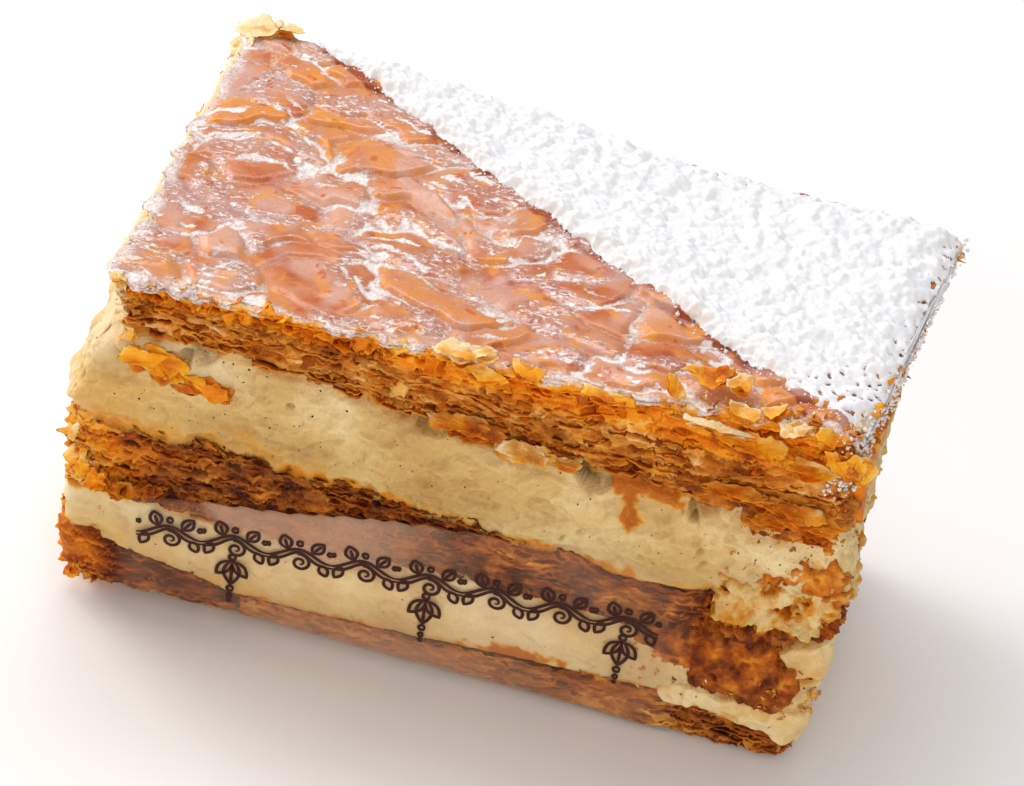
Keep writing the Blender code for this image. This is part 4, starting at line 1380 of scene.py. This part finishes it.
def creamHollows(slab, plan, points, share, out, front):  # hollows and clefts, and the painted shade in them
    x, seed, paintedShade = slab["plan"][:, 0], plan["seed"], np.zeros_like(out)
    for centre, level, width, tall, depth in plan["hollows"]:
        away = fromSpot(slab, share, centre, level, width, tall)
        away = away + 0.06 * swell(points, 1.6, seed + 27)
        out = out - depth * ease(1.03, 0.88, away) * front
        # painted shade: darkest on the hollow's left side, fading toward its lit right side
        shade = 0.34 * depth * (0.15 + 0.85 * ease(0.6 * width, -0.2 * width, x - centre))
        paintedShade = np.maximum(paintedShade, np.minimum(shade, 1) * ease(0.99, 0.9, away) * front)
    for x0, z0, x1, z1, width, depth in plan["clefts"]:
        along = np.array((x1 - x0, z1 - z0))
        rel = stacked(points[..., 0] - x0, points[..., 2] - z0)
        t = np.clip(rel @ along / (along @ along), 0, 1)
        rel = rel + 0.5 * drift(points, 1.4, seed + 28)[..., :2]
        away = np.linalg.norm(rel - t[..., None] * along, axis=-1)
        gash = np.exp(-(away / width) ** 2) * front * ease(-0.6, 0.1, swell(points, 2.0, seed + 30))
        out = out - depth * gash
        paintedShade = np.maximum(paintedShade, np.minimum(0.28 * depth, 0.9) * gash)
    return out, paintedShade


def creamStains(slab, plan, points, share, front):  # butter soaked in: spots, edges and smudges
    x, seed, stain = slab["plan"][:, 0], plan["seed"], np.zeros_like(share)
    for spot in plan["stains"]:
        away = fromSpot(slab, share, *spot) + 0.4 * rough(points, 2.4, 3, seed + 5, 0.6)
        stain = np.maximum(stain, ease(1.25, 0.5, away) * front)
    edge = np.minimum(share, 1 - share)
    rind = 0.7 * ease(0.08, 0.0, edge + 0.05 * swell(points, 1.8, seed + 6))
    stain = np.maximum(stain, rind * ease(-0.5, 0.4, swell(points, 7.0, seed + 31)))
    smudge = ease(0.28, 0.0, share + 0.16 * swell(points, 3.0, seed + 23)) * ease(0, -40, x)
    smudge = np.maximum(smudge, 0.6 * ease(-36, -52, x) * ease(0.75, 0.45, share))
    smudge = np.maximum(smudge, 0.8 * ease(32, 46, x) * ease(-0.1, 0.5, swell(points, 3.0, seed + 24)))
    return np.maximum(stain, 0.42 * smudge * front)


def creamLayer(slab, label, look):
    plan, normal, x = creamPlans[slab["name"]], slab["normal"], slab["plan"][:, 0]
    share = np.linspace(0.0, 1.0, plan["rows"])[:, None] * np.ones(slab["count"])
    points = besideWall(slab, share, 0.0)
    out, texture, scar = creamTexture(points, plan)
    front = ease(-0.3, -0.8, normal[:, 1])
    out, paintedShade = creamHollows(slab, plan, points, share, out, front)
    out = out - 0.15 - plan["top"] * ease(0.91, 1.0, share)
    stain = creamStains(slab, plan, points, share, front)
    pull = 0 * out
    if slab["name"] == "cream_lower":  # makes room for the crust pressed into it at the left
        crust = np.interp(x, *zip(*wallPatches["cornerCrust"]["high"])) - points[..., 2]
        pull = 1.8 * ease(0.1, 1.2, crust) * ease(-30, -33, x) * front
    # painted shade for the sunk mark: dents and crescents darker, the hollows' shade and the lower
    # cream's ends in shadow; it is also darker toward the bottom of each layer
    dentShade = np.clip(-0.6 * texture - 0.1, 0, 0.4)
    shadow = plan["shade"] * np.maximum(ease(-26, -50, x), 0.6 * ease(8, 30, x)) * front
    sunk = np.maximum(paintedShade, dentShade + 0.14 * scar + 0.16 * ease(0.5, 0.1, share) + shadow)
    points[..., :2] += normal * out[..., None]
    (inward, down), tuck = plan["foot"], plan["tuck"]
    low = points[:1] - stacked(normal[:, 0] * inward, normal[:, 1] * inward, down)
    high = points[-1:] - stacked(normal[:, 0] * tuck, normal[:, 1] * tuck, -0.6)
    body = pressed(points, 0.3)
    body[..., :2] -= normal * pull[..., None]
    rings = pressed(np.concatenate([low, body, high]))
    mesh, faces = loft(rings)
    makePiece(label, mesh, faces, look, slab["name"],
              {"stain": spread(stain, mesh), "sunk": spread(sunk, mesh)})
    return rings


creamSides = {name: creamLayer(slabs[name], label, looks[look]) for name, label, look in (
    ("cream_upper", "upperCream", "creamUpper"), ("cream_lower", "lowerCream", "creamLower"))}
print("cream made")


seedPlan = {"cream_upper": 230, "cream_lower": 120, "size": (0.13, 0.34), "sunk": 0.04}


def roundShape(seed, uneven):  # a small lump, 1 mm across
    ball = bmesh.new()
    bmesh.ops.create_icosphere(ball, subdivisions=1, radius=0.5)
    points = np.array([v.co[:] for v in ball.verts])
    faces = [np.array([[v.index for v in f.verts] for f in ball.faces])]
    ball.free()
    points *= (1 + uneven * swell(points, 0.55, seed))[:, None]
    return points, faces


def vanillaSeeds(name, label, count, seed):
    random = np.random.default_rng(seed)
    slab, rings = slabs[name], creamSides[name]
    share = random.uniform(0.08, 0.92, count)
    row = (share * (len(rings) - 1)).astype(int)
    column = random.integers(0, slab["count"], count)
    normal = np.concatenate([slab["normal"], np.zeros((slab["count"], 1))], 1)[column]
    place = rings[row, column] - normal * seedPlan["sunk"]
    size = random.uniform(*seedPlan["size"], count)[:, None] * random.uniform(0.7, 1.2, (count, 3))
    spots = {"place": place, "turn": random.uniform(0, 3, (count, 3)), "size": size,
             "kind": random.integers(0, 3, count)}
    scattered(label, spots, seedShapes, looks["seed"], seed, 0.15, name)


seedShapes = shapeCollection("seedShape", [roundShape(760 + i, 0.3) for i in range(3)])
for i, level in enumerate(("upper", "lower")):
    vanillaSeeds("cream_" + level, level + "VanillaSeeds", seedPlan["cream_" + level], 761 + i)
clearShapes(seedShapes)
print("seeds made")


# the caramelised top

glazePlan = {"along": 340, "across": 196, "long": 105, "wide": 58, "lift": 0.25, "skin": 0.5,
             "blister": 0.85, "blisterLong": 12.5, "blisterShort": 6.8, "warp": 3.6, "edge": 0.9,
             "inside": 1.6}


def cornersOf(plan):  # front left, front right, back right and back left
    x, y = plan[:, 0] / 55, plan[:, 1] / 34  # half the length and depth
    return [int(np.argmax(-x - y)), int(np.argmax(x - y)), int(np.argmax(x + y)),
            int(np.argmax(-x + y))]


def sidesOf(plan):  # front, right, back and left edges, each from its start corner anticlockwise
    marks = cornersOf(plan)
    sides = []
    for a, b in zip(marks, marks[1:] + marks[:1]):
        index = np.arange(a, b + 1 if b > a else b + 1 + len(plan)) % len(plan)
        sides.append(plan[index])
    return sides


def evenly(line, count):
    travel = travelled(line)
    return placed(line, travel, np.linspace(0, travel[-1], count))


def patchOf(plan, along, across):  # an even grid over the outline
    front, right, back, left = sidesOf(plan)
    f, b = evenly(front, along), evenly(back[::-1], along)
    r, l = evenly(right, across), evenly(left[::-1], across)
    u = np.linspace(0, 1, along)[:, None, None]
    v = np.linspace(0, 1, across)[None, :, None]
    corners = ((1 - u) * (1 - v) * f[0] + u * (1 - v) * f[-1] + u * v * b[-1] + (1 - u) * v * b[0])
    return (1 - v) * f[:, None] + v * b[:, None] + (1 - u) * l[None] + u * r[None] - corners


stencil = {"start": (-41.5, 34.6), "end": (46.0, -31.1)}


def sugarSide(x, y):  # distance in mm past the stencil's line, positive under the sugar
    (ax, ay), (bx, by) = stencil["start"], stencil["end"]
    length = math.hypot(bx - ax, by - ay)
    return ((bx - ax) * (y - ay) - (by - ay) * (x - ax)) / length


def glazeRelief(x, y):  # height, white crust, pebbled share and each blister's number
    flat = stacked(x, y, 0.0)
    bent = flat + glazePlan["warp"] * drift(flat, 13, 301) + 0.9 * drift(flat, 3.4, 303)
    turned = stacked(bent[..., 0] + 0.3 * bent[..., 1], bent[..., 1] - 0.1 * bent[..., 0], 0.0)
    near, second, number = cells(turned / (glazePlan["blisterLong"], glazePlan["blisterShort"], 1),
                                 1.0, 305)
    gap = second - near
    dome = ease(0.0, 0.3, gap) * (0.2 + 0.8 * number)
    relief = glazePlan["blister"] * (dome - 0.3 * near - 0.3) + 0.4 * swell(flat, 15, 306)
    region = ease(-0.35, 0.25, swell(flat, 12, 309))
    crease = ease(0.15, 0.02, gap + 0.09 * swell(flat, 1.6, 308)) * (0.35 + 0.65 * region)
    strokes = swell(bent * (1 / 5.5, 1 / 1.5, 1), 1.0, 310) + 0.4 * swell(bent, 1.0, 318)
    streak = ease(0.3, 0.55, strokes) * region
    pebbles = ease(-0.1, 0.2, swell(bent * (1 / 8, 1 / 4.5, 1), 1.0, 311)) * ease(0.85, 0.5, number)
    bead, beside, _ = cells(bent, 0.9, 312)
    beads = 0.12 * ease(0.0, 0.5, beside - bead) * pebbles
    return relief + beads, np.maximum(crease, streak), pebbles, number


def glazedTop():
    along, across = glazePlan["along"], glazePlan["across"]
    long, wide = glazePlan["long"], glazePlan["wide"]
    grid = patchOf(slabs["pastry_top"]["plan"], along, across)
    x, y = grid[..., 0], grid[..., 1]
    u = np.linspace(0, 1, along)[:, None] * long + 0 * x
    v = np.linspace(0, 1, across)[None] * wide + 0 * x
    flat = stacked(x, y, 0.0)
    push = rough(flat, 4.0, 3, 311) * glazePlan["edge"] - 0.5  # the torn rim
    push = push - 0.8 * ease(0.25, 0.45, swell(flat, 3.0, 312))  # chipped away in places
    y = y - push * np.exp(-v / 1.2) + push * np.exp(-(wide - v) / 1.2)
    x = x - push * np.exp(-u / 1.2) + push * np.exp(-(long - u) / 1.2)
    relief, crust, pebbles, dome = glazeRelief(x, y)
    toEdge = np.minimum(np.minimum(v, wide - v), np.minimum(u, long - u))
    inner = ease(0.0, 5.0, toEdge)
    z = topHeight(x, y) + glazePlan["lift"] + relief * (0.25 + 0.75 * inner)
    z = z - 0.45 * np.exp(-toEdge / 0.6) + 0.3 * swell(flat, 2.0, 313) * (1 - inner)
    crust = np.maximum(crust, 0.75 * ease(4.2, 1.0, toEdge + 1.4 * swell(flat, 4.0, 314)))
    crust = np.where(sugarSide(x, y) > -0.9, 0.0, crust)
    line = ease(-1.6, -0.9, sugarSide(x, y))  # painted shadow: a dark line along the sugar's edge where the caramel meets the stencil
    amber = 0.5 * dome + 0.25 + 0.25 * swell(flat, 5.0, 315) - 1.1 * line
    border = borderOf(along, across)
    rim = stacked(x, y, z).reshape(-1, 3)[border]
    middle = rim.mean(0)
    skirt = [rim - (0, 0, glazePlan["skin"] * 0.6), rim - (0, 0, glazePlan["skin"])]
    for shrink in (0.04, 0.15, 0.3, 0.45, 0.6, 0.75, 0.88):
        ring = rim + (middle - rim) * shrink
        ring[:, 2] = topHeight(ring[:, 0], ring[:, 1]) - glazePlan["inside"]
        skirt.append(ring)
    middle[2] = topHeight(middle[0], middle[1]) - glazePlan["inside"]
    points, faces = skirted(stacked(x, y, z), skirt, middle)
    marks = {name: np.concatenate([value.ravel(), np.tile(value.ravel()[border], len(skirt)), [0]])
             for name, value in (("crust", crust), ("amber", amber), ("pebble", pebbles))}
    makePiece("caramelTop", points, faces, looks["glaze"], "pastry_top", marks)


glazedTop()
print("caramel made")


# icing sugar over the diagonal half

sugarPlan = {"step": 0.3, "rows": 176, "deep": 1.2, "clump": 0.62, "small": 0.3, "edge": 0.6,
             "thinAt": (47, -29)}


def sugarReach(a, start, run, side, outline):  # where the coat starts and ends past the line
    along, far = ((outline - start) @ np.linalg.inv(np.array([run, side]))).T
    reach = np.zeros((2, len(a)))
    ahead, farAhead = np.roll(along, -1), np.roll(far, -1)
    for i, place in enumerate(a):
        cross = (along - place) * (ahead - place) <= 0
        cross &= np.abs(ahead - along) > 1e-9
        t = (place - along[cross]) / (ahead[cross] - along[cross])
        hits = far[cross] + t * (farAhead[cross] - far[cross])
        if len(hits):
            reach[:, i] = max(0, hits.min()), hits.max()
    return reach


def sugarSpread():  # the coat's grid in plan, and how far each point lies from the line and the rim
    start, end = np.array(stencil["start"]), np.array(stencil["end"])
    length = np.linalg.norm(end - start)
    run = (end - start) / length
    outline = slabs["pastry_top"]["plan"]
    side = outline[cornersOf(outline)[2]] - end  # along the right edge
    side /= np.linalg.norm(side)
    a = np.arange(0.6, length + 6, sugarPlan["step"])
    first, last = sugarReach(a, start, run, side, outline)
    wide = last - first > 0.8
    a, first, reach = a[wide], first[wide], (last - first)[wide]
    v = np.linspace(0, 1, sugarPlan["rows"]) ** 1.35  # closer rows on the slope by the line
    toLine = v[None] * reach[:, None]
    far = first[:, None] + toLine
    spot = start + a[:, None, None] * run + far[..., None] * side
    flat = stacked(spot[..., 0], spot[..., 1], 0.0)
    toRight = (a[-1] - a)[:, None] + 0 * toLine
    toRim = np.minimum((1 - v[None]) * reach[:, None], 0.9 * toRight)
    jag = sugarPlan["edge"] * (rough(flat, 4.0, 3, 401, 0.6) + 0.5 * swell(flat, 0.7, 402))
    spot = spot - side * (jag * np.exp(-toLine / 0.7))[..., None]
    spill = 0.5 * swell(flat, 2.5, 403) - 0.2
    spot = spot + side * (spill * np.exp(-toRim / 0.8))[..., None]
    spot = spot + run * ((0.9 * rough(flat, 3.0, 3, 411) - 0.2) * np.exp(-toRight / 0.8))[..., None]
    return spot[..., 0], spot[..., 1], toLine, toRim


def sugarDepth(x, flat, toLine, toRim):  # how deep the coat lies, and where it is thin
    near, _, number = cells(flat + 0.5 * drift(flat, 1.2, 404), 1.7, 406)
    small, _, _ = cells(flat, 0.75, 407)
    deep = sugarPlan["deep"] + sugarPlan["clump"] * (1 - 1.3 * near ** 2) * (0.4 + 0.8 * number)
    deep = deep + sugarPlan["small"] * (0.7 - small) + 0.35 * rough(flat, 5.0, 3, 408)
    thin = ease(5.0, 0.5, toRim + 1.5 * swell(flat, 3.0, 409)) * ease(-5, 30, x)
    corner = np.hypot(x - sugarPlan["thinAt"][0], flat[..., 1] - sugarPlan["thinAt"][1])
    thin = np.maximum(thin, ease(20, 5, corner))
    deep = deep * (1 - 0.6 * thin)
    rim = np.minimum(toLine, toRim) + 0.3 * swell(flat, 0.6, 412)
    return deep * ease(-0.1, 2.0, rim + 0.35 * swell(flat, 1.3, 413)) ** 0.7, thin


def sugarCoat():
    x, y, toLine, toRim = sugarSpread()
    flat = stacked(x, y, 0.0)
    deep, thin = sugarDepth(x, flat, toLine, toRim)
    pits = ease(0.3, 0.5, swell(flat, 0.9, 410)) * thin
    z = topHeight(x, y) + glazePlan["lift"] + 0.35 * glazeRelief(x, y)[0] + deep - 0.15
    top = stacked(x, y, z - 0.5 * pits)
    border = borderOf(*top.shape[:2])
    ring = top.reshape(-1, 3)[border]
    middle = ring.mean(0) - (0, 0, 1.6)
    ring[:, 2] -= 0.7
    points, faces = skirted(top, [ring], middle)
    bare = np.clip(0.75 * pits + 0.3 * thin - 0.1, 0, 1)
    makePiece("icingSugar", points, faces, looks["sugar"], "icing_sugar",
              {"bare": np.concatenate([bare.ravel(), np.zeros(len(border) + 1)])})


sugarCoat()
print("sugar made")


# crumbs of sugar and pastry

# slab they lie on, x and y range, height shares, count, size in mm, look, and how far they stand out
crumbPlans = {
    "sugarDustOnCorner": {"on": "pastry_top", "x": (44, 70), "y": (-60, 30), "share": (0.3, 1.02),
                          "count": 800, "size": (0.2, 0.9), "look": "sugar", "out": (-0.3, 0.7)},
    "crumbsOnTopRim": {"on": "pastry_top", "x": (20, 49), "y": (-60, -28), "share": (0.9, 1.08),
                       "count": 110, "size": (0.6, 2.0), "look": "leaves", "out": (-2.2, 0.4)},
    "crumbsByChunk": {"on": "cream_lower", "x": (24, 50), "y": (-60, -28), "share": (0.0, 1.0),
                      "count": 150, "size": (0.5, 1.6), "look": "strata", "out": (-0.1, 0.7)},
    "crumbsOnRightCream": {"on": "cream_upper", "x": (33, 56), "y": (-60, -20), "share": (0.0, 0.9),
                           "count": 120, "size": (0.4, 1.6), "look": "strata", "out": (-0.4, 0.1)},
}


def crumbSpots(count, size, random):
    wide = random.uniform(*size, count) * random.uniform(0.6, 1.0, count)
    return {"turn": random.uniform(0, 6, (count, 3)), "kind": random.integers(0, 6, count),
            "size": wide[:, None] * random.uniform(0.6, 1.2, (count, 3)),
            "tone": random.normal(0.6, 0.2, count), "glow": random.uniform(0.1, 0.7, count)}


def crumbs(label, plan, seed):
    random = np.random.default_rng(seed)
    slab, count = slabs[plan["on"]], plan["count"]
    part = partOf(slab, random.choice(columnsIn(slab, plan), count))
    share = random.uniform(*plan["share"], count)
    place = besideWall(part, share[None], random.uniform(*plan["out"], count))[0]
    free = np.linalg.norm(pressed(place) - place, axis=1) < 0.05  # clear of the film
    spots = {"place": place} | crumbSpots(count, plan["size"], random)
    sugar = plan["look"] == "sugar"
    scattered(label, spots, crumbShapes if sugar else flakeShapes, looks[plan["look"]],
              seed, kept=free)


def sugarCrumbs(label, count, seed):  # loose clumps along the stencil's line
    random = np.random.default_rng(seed)
    start, end = np.array(stencil["start"]), np.array(stencil["end"])
    run = (end - start) / np.linalg.norm(end - start)
    side = np.array((-run[1], run[0]))
    t = random.uniform(0.02, 0.99, count)
    away = -np.abs(random.normal(0, 0.9, count)) + 0.3
    x, y = (start + t[:, None] * (end - start) + away[:, None] * side).T
    place = stacked(x, y, topHeight(x, y) + glazePlan["lift"] + glazeRelief(x, y)[0] + 0.1)
    spots = {"place": place} | crumbSpots(count, (0.15, 0.6), random)
    scattered(label, spots, crumbShapes, looks["sugar"], seed)


crumbShapes = shapeCollection("crumbShape", [roundShape(780 + 3 * i, 0.5) for i in range(6)])
for i, (label, plan) in enumerate(crumbPlans.items()):
    crumbs(label, plan, 791 + i)
sugarCrumbs("sugarAlongLine", 200, 799)
clearShapes(crumbShapes)
clearShapes(flakeShapes)
print("crumbs made")


# the clear film and its print


def filmFace(side, x, z):  # middle of the film itself, a little off the food and gently waved
    way = -1 if side == "front" else 1
    wall = filmWall(side, x, z)
    wobble = filmPlan["wobble"] * (0.6 + rough(stacked(x, wall, z), 14.0, 2, 501)) * ease(4, 10, z)
    return wall + way * (0.1 + np.maximum(wobble, 0))


def filmSheet():
    half, foot = filmPlan["thickness"] / 2, filmPlan["foot"]
    heights = np.linspace(0, 1, filmPlan["wallRows"])
    across = np.linspace(0, 1, filmPlan["baseRows"])[1:-1]
    sections = []
    for x in np.linspace(filmXs[0], filmXs[-1], filmPlan["sections"]):
        column = []
        for side in ("front", "back"):
            z = foot + (filmTop(side, x) + 0.3 - foot) * heights ** 1.4
            column.append(stacked(x, filmFace(side, x + 0 * z, z), z))
        front, back = column
        base = stacked(x, front[0, 1] + (back[0, 1] - front[0, 1]) * across, filmPlan["base"])
        sections.append(np.concatenate([front[::-1], base, back]))
    sheet = np.array(sections)
    run = np.gradient(sheet, axis=1)
    normal = stacked(0 * run[..., 0], run[..., 2], -run[..., 1])
    normal /= np.linalg.norm(normal, axis=-1)[..., None]
    outer, inner = sheet + normal * half, sheet - normal * half
    n, m = sheet.shape[:2]
    loop = np.concatenate([outer, inner[:, ::-1]], 1)
    loop[..., 2] = np.maximum(loop[..., 2], 0.02)
    k = np.arange(m - 1)
    near, far = (row * 2 * m + np.stack([k, k + 1, 2 * m - 2 - k, 2 * m - 1 - k], -1)
                 for row in (0, n - 1))
    front = ease(-20, -30, loop[..., 1])
    x, z = loop[..., 0], loop[..., 2]
    low = ease(9, 4, z) * ease(-36, -18, x) * (1 - 0.75 * ease(-6, 24, x))
    haze = 0.05 + 0.04 * swell(loop, 11, 503) + 0.22 * low
    # painted reflection: a milky band along the top of the front wall's left half, standing in for the
    # bright light mirrored in the film
    reflectionBand = ease(0.0, 0.5, z - 18.6 + 0.16 * (x + 34)) * ease(-37, -34.5, x + 0.8 * (z - 20))
    reflectionBand = reflectionBand * (0.05 + 0.95 * ease(0, -18, x))
    haze = haze + filmPlan["hazeTop"] * reflectionBand * front
    haze = haze * (0.2 + 0.8 * ease(0, 7, filmXs[-1] - x) * ease(0, 3, x - filmXs[0]))
    makePiece("filmWrap", loop, [gridFaces(n, 2 * m, closedColumns=True), near[:, ::-1], far],
              looks["film"], "film_wrap", {"haze": np.clip(haze, 0.015, 1)})


filmSheet()
print("film made")


# a vine scroll in brown food ink: a waving stem with tendrils, leaves and berries
printPlan = {"start": -46.5, "unit": 9.2, "units": 8, "middle": 17.6, "climb": 0.045, "line": 0.5,
             "thickness": 0.05, "pendants": (-32.7, -5.1, 22.5)}


def circleLine(cx, cy, radius, steps=20):
    turn = np.linspace(0, 2 * math.pi, steps + 1)
    return stacked(cx + radius * np.cos(turn), cy + radius * np.sin(turn))


def leafLine(x, y, length, angle, fat=0.34):
    t = np.linspace(0, 1, 13)
    up, down = stacked(t, fat * np.sin(math.pi * t) ** 0.9), stacked(t, -fat * np.sin(math.pi * t))
    loop = np.concatenate([up, down[::-1][1:]]) * length
    c, s = math.cos(angle), math.sin(angle)
    return loop @ np.array([(c, s), (-s, c)]) + (x, y)


def spiralLine(x, y, radius, turns, start, way=1):
    t = np.linspace(0, 1, 40)
    angle = start + way * turns * 2 * math.pi * t
    r = radius * (1 - 0.86 * t)
    return stacked(x + r * np.cos(angle), y + r * np.sin(angle))


def inkStrokes(lines, width, thickness):  # flat closed ribbons along the lines, in x and z
    points, quads, start = [], [], 0
    for line in lines:
        line = np.asarray(line, float)
        travel = travelled(line)
        count = max(4, int(travel[-1] / 0.3))
        places = np.linspace(0, travel[-1], count)
        line = placed(line, travel, places)
        run = np.gradient(line, axis=0)
        side = stacked(-run[:, 1], run[:, 0]) / np.linalg.norm(run, axis=1)[:, None]
        toEnd = np.minimum(places, travel[-1] - places) / travel[-1]
        swing = width / 2 * (0.55 + 0.45 * ease(0, 0.18, toEnd))[:, None]
        left, right = line + side * swing, line - side * swing
        four = [stacked(edge[:, 0], way * thickness / 2, edge[:, 1])
                for edge, way in ((left, -1), (right, -1), (right, 1), (left, 1))]
        points.append(np.stack(four, 1).reshape(-1, 3))
        last = start + (count - 1) * 4
        quads.append(gridFaces(count, 4, closedColumns=True) + start)
        quads.append(np.array([(start + 3, start + 2, start + 1, start),
                               (last, last + 1, last + 2, last + 3)]))
        start += 4 * count
    return np.concatenate(points), [np.concatenate(quads)]


def vineUnit(unit):
    t = np.linspace(-0.5, 0.5, 40)
    wave = 0.95 * np.cos(2 * math.pi * t)
    twin = stacked(t * unit, wave - 0.75 + 0.2 * np.cos(4 * math.pi * t))
    return [stacked(t * unit, wave), twin, spiralLine(0.35, -1.35, 1.5, 1.6, 1.9, -1),
            leafLine(-1.5, 0.75, 2.5, 1.9), leafLine(1.9, 0.6, 2.4, 0.9),
            leafLine(-3.0, -0.9, 2.2, -2.0, 0.3), leafLine(3.2, -1.2, 2.1, -1.1, 0.3),
            circleLine(0.1, 2.0, 0.42, 12), np.array([(-1.6, 1.0), (-2.1, 2.5)]),
            np.array([(2.1, 0.85), (3.1, 2.1)]), circleLine(4.4, 0.9, 0.34, 10),
            circleLine(-4.3, 1.0, 0.3, 10)]


def pendantUnit():
    sides = [leafLine(0, -3.6, 3.4, -math.pi / 2 + lean, 0.24) for lean in (-0.7, 0.7)]
    return [circleLine(0, -2.9, 0.5, 14), leafLine(0, -3.4, 4.4, -math.pi / 2, 0.26), *sides,
            np.array([(0, -3.6), (0, -7.4)]), circleLine(0, -8.6, 0.45, 12),
            circleLine(0, -9.9, 0.34, 12), circleLine(0, -10.9, 0.26, 10)]


def inkOnFilm():
    shapes = shapeCollection("printShape", [
        inkStrokes(lines, printPlan["line"], printPlan["thickness"])
        for lines in (vineUnit(printPlan["unit"]), pendantUnit())])
    places = [printPlan["start"] + printPlan["unit"] * (i + 0.5) for i in range(printPlan["units"])]
    kinds = [0] * len(places) + [1] * len(printPlan["pendants"])
    places += list(printPlan["pendants"])
    spots = {"place": [(x, 0, 0) for x in places], "turn": np.zeros((len(places), 3)),
             "size": np.ones((len(places), 3)), "kind": kinds}
    mesh = scattered("filmPrint", spots, shapes, looks["ink"], 771, 0.0).data
    clearShapes(shapes)
    flat = np.zeros(len(mesh.vertices) * 3, np.float32)
    mesh.vertices.foreach_get("co", flat)
    x, y, z = flat.reshape(-1, 3).astype(float).T / mm
    # laid on the film's outer face, climbing a little toward the right
    z = np.maximum(z + printPlan["middle"] + printPlan["climb"] * (x + 10), 1.2)
    y = filmFace("front", x, z) - filmPlan["thickness"] / 2 - 0.03 + y
    mesh.vertices.foreach_set("co", (stacked(x, y, z) * mm).astype(np.float32).ravel())
    mesh.update()


inkOnFilm()
print("print made")


# floor, light and camera

stagePlan = {"standOff": (21.13, -304.04, 249.12), "azimuth": 4.052, "elevation": 36.0,
             "roll": 9.468, "lens": 91.41, "world": "#eef1f7", "worldStrength": 0.46,
             "tableHalf": 3.0, "aimHeight": 30}
# place in mm, size in mm, power in watts, colour
lampPlans = {"window": ((-150, 310, 690), (700, 260), 3.2, "#f8f8ff"),
             "leftSky": ((-560, 220, 300), (420, 420), 2.9, "#fffaf2"),
             "frontFill": ((120, -640, 300), (560, 420), 1.95, "#fff0dc")}


def makeTable():
    r = stagePlan["tableHalf"]
    mesh = bpy.data.meshes.new("table")
    mesh.from_pydata([(-r, -r, 0), (r, -r, 0), (r, r, 0), (-r, r, 0)], [], [(0, 1, 2, 3)])
    mesh.materials.append(looks["floor"])
    table = bpy.data.objects.new("table", mesh)
    scene.collection.objects.link(table)


def makeLight():
    world = bpy.data.worlds.new("softRoom")
    scene.world = world
    world.use_nodes = True
    feed(world.node_tree, world.node_tree.nodes["Background"],
         {"Color": linear(stagePlan["world"]), "Strength": stagePlan["worldStrength"]})
    for name, (place, size, power, colour) in lampPlans.items():
        lamp = bpy.data.lights.new(name, "AREA")
        lamp.shape = "RECTANGLE"
        lamp.size, lamp.size_y = size[0] * mm, size[1] * mm
        lamp.energy = power
        lamp.color = linear(colour)[:3]
        holder = bpy.data.objects.new(name, lamp)
        place = Vector(place) * mm
        toward = place - Vector((0, 0, stagePlan["aimHeight"] * mm))
        turn = toward.to_track_quat("Z", "Y").to_matrix().to_4x4()
        holder.matrix_world = Matrix.Translation(place) @ turn
        scene.collection.objects.link(holder)


def makeCamera():
    a, e, r = (math.radians(stagePlan[key]) for key in ("azimuth", "elevation", "roll"))
    back = Vector((math.sin(a) * math.cos(e), -math.cos(a) * math.cos(e), math.sin(e)))
    right = Vector((0, 0, 1)).cross(back).normalized()
    up = back.cross(right)
    across = right * math.cos(r) + up * math.sin(r)
    upright = up * math.cos(r) - right * math.sin(r)
    turn = Matrix((across, upright, back)).transposed().to_4x4()
    data = bpy.data.cameras.new("camera")
    data.lens = stagePlan["lens"]
    data.sensor_width = 36
    data.clip_start = 0.01
    camera = bpy.data.objects.new("camera", data)
    middle = (cadBox[0] + cadBox[1]) / 2
    foot = Vector((middle.x, middle.y, cadBox[0].z))
    camera.matrix_world = Matrix.Translation(foot + Vector(stagePlan["standOff"]) * mm) @ turn
    scene.collection.objects.link(camera)
    scene.camera = camera


makeTable()
makeLight()
makeCamera()
scene.view_settings.view_transform = "Standard"
print("stage set")
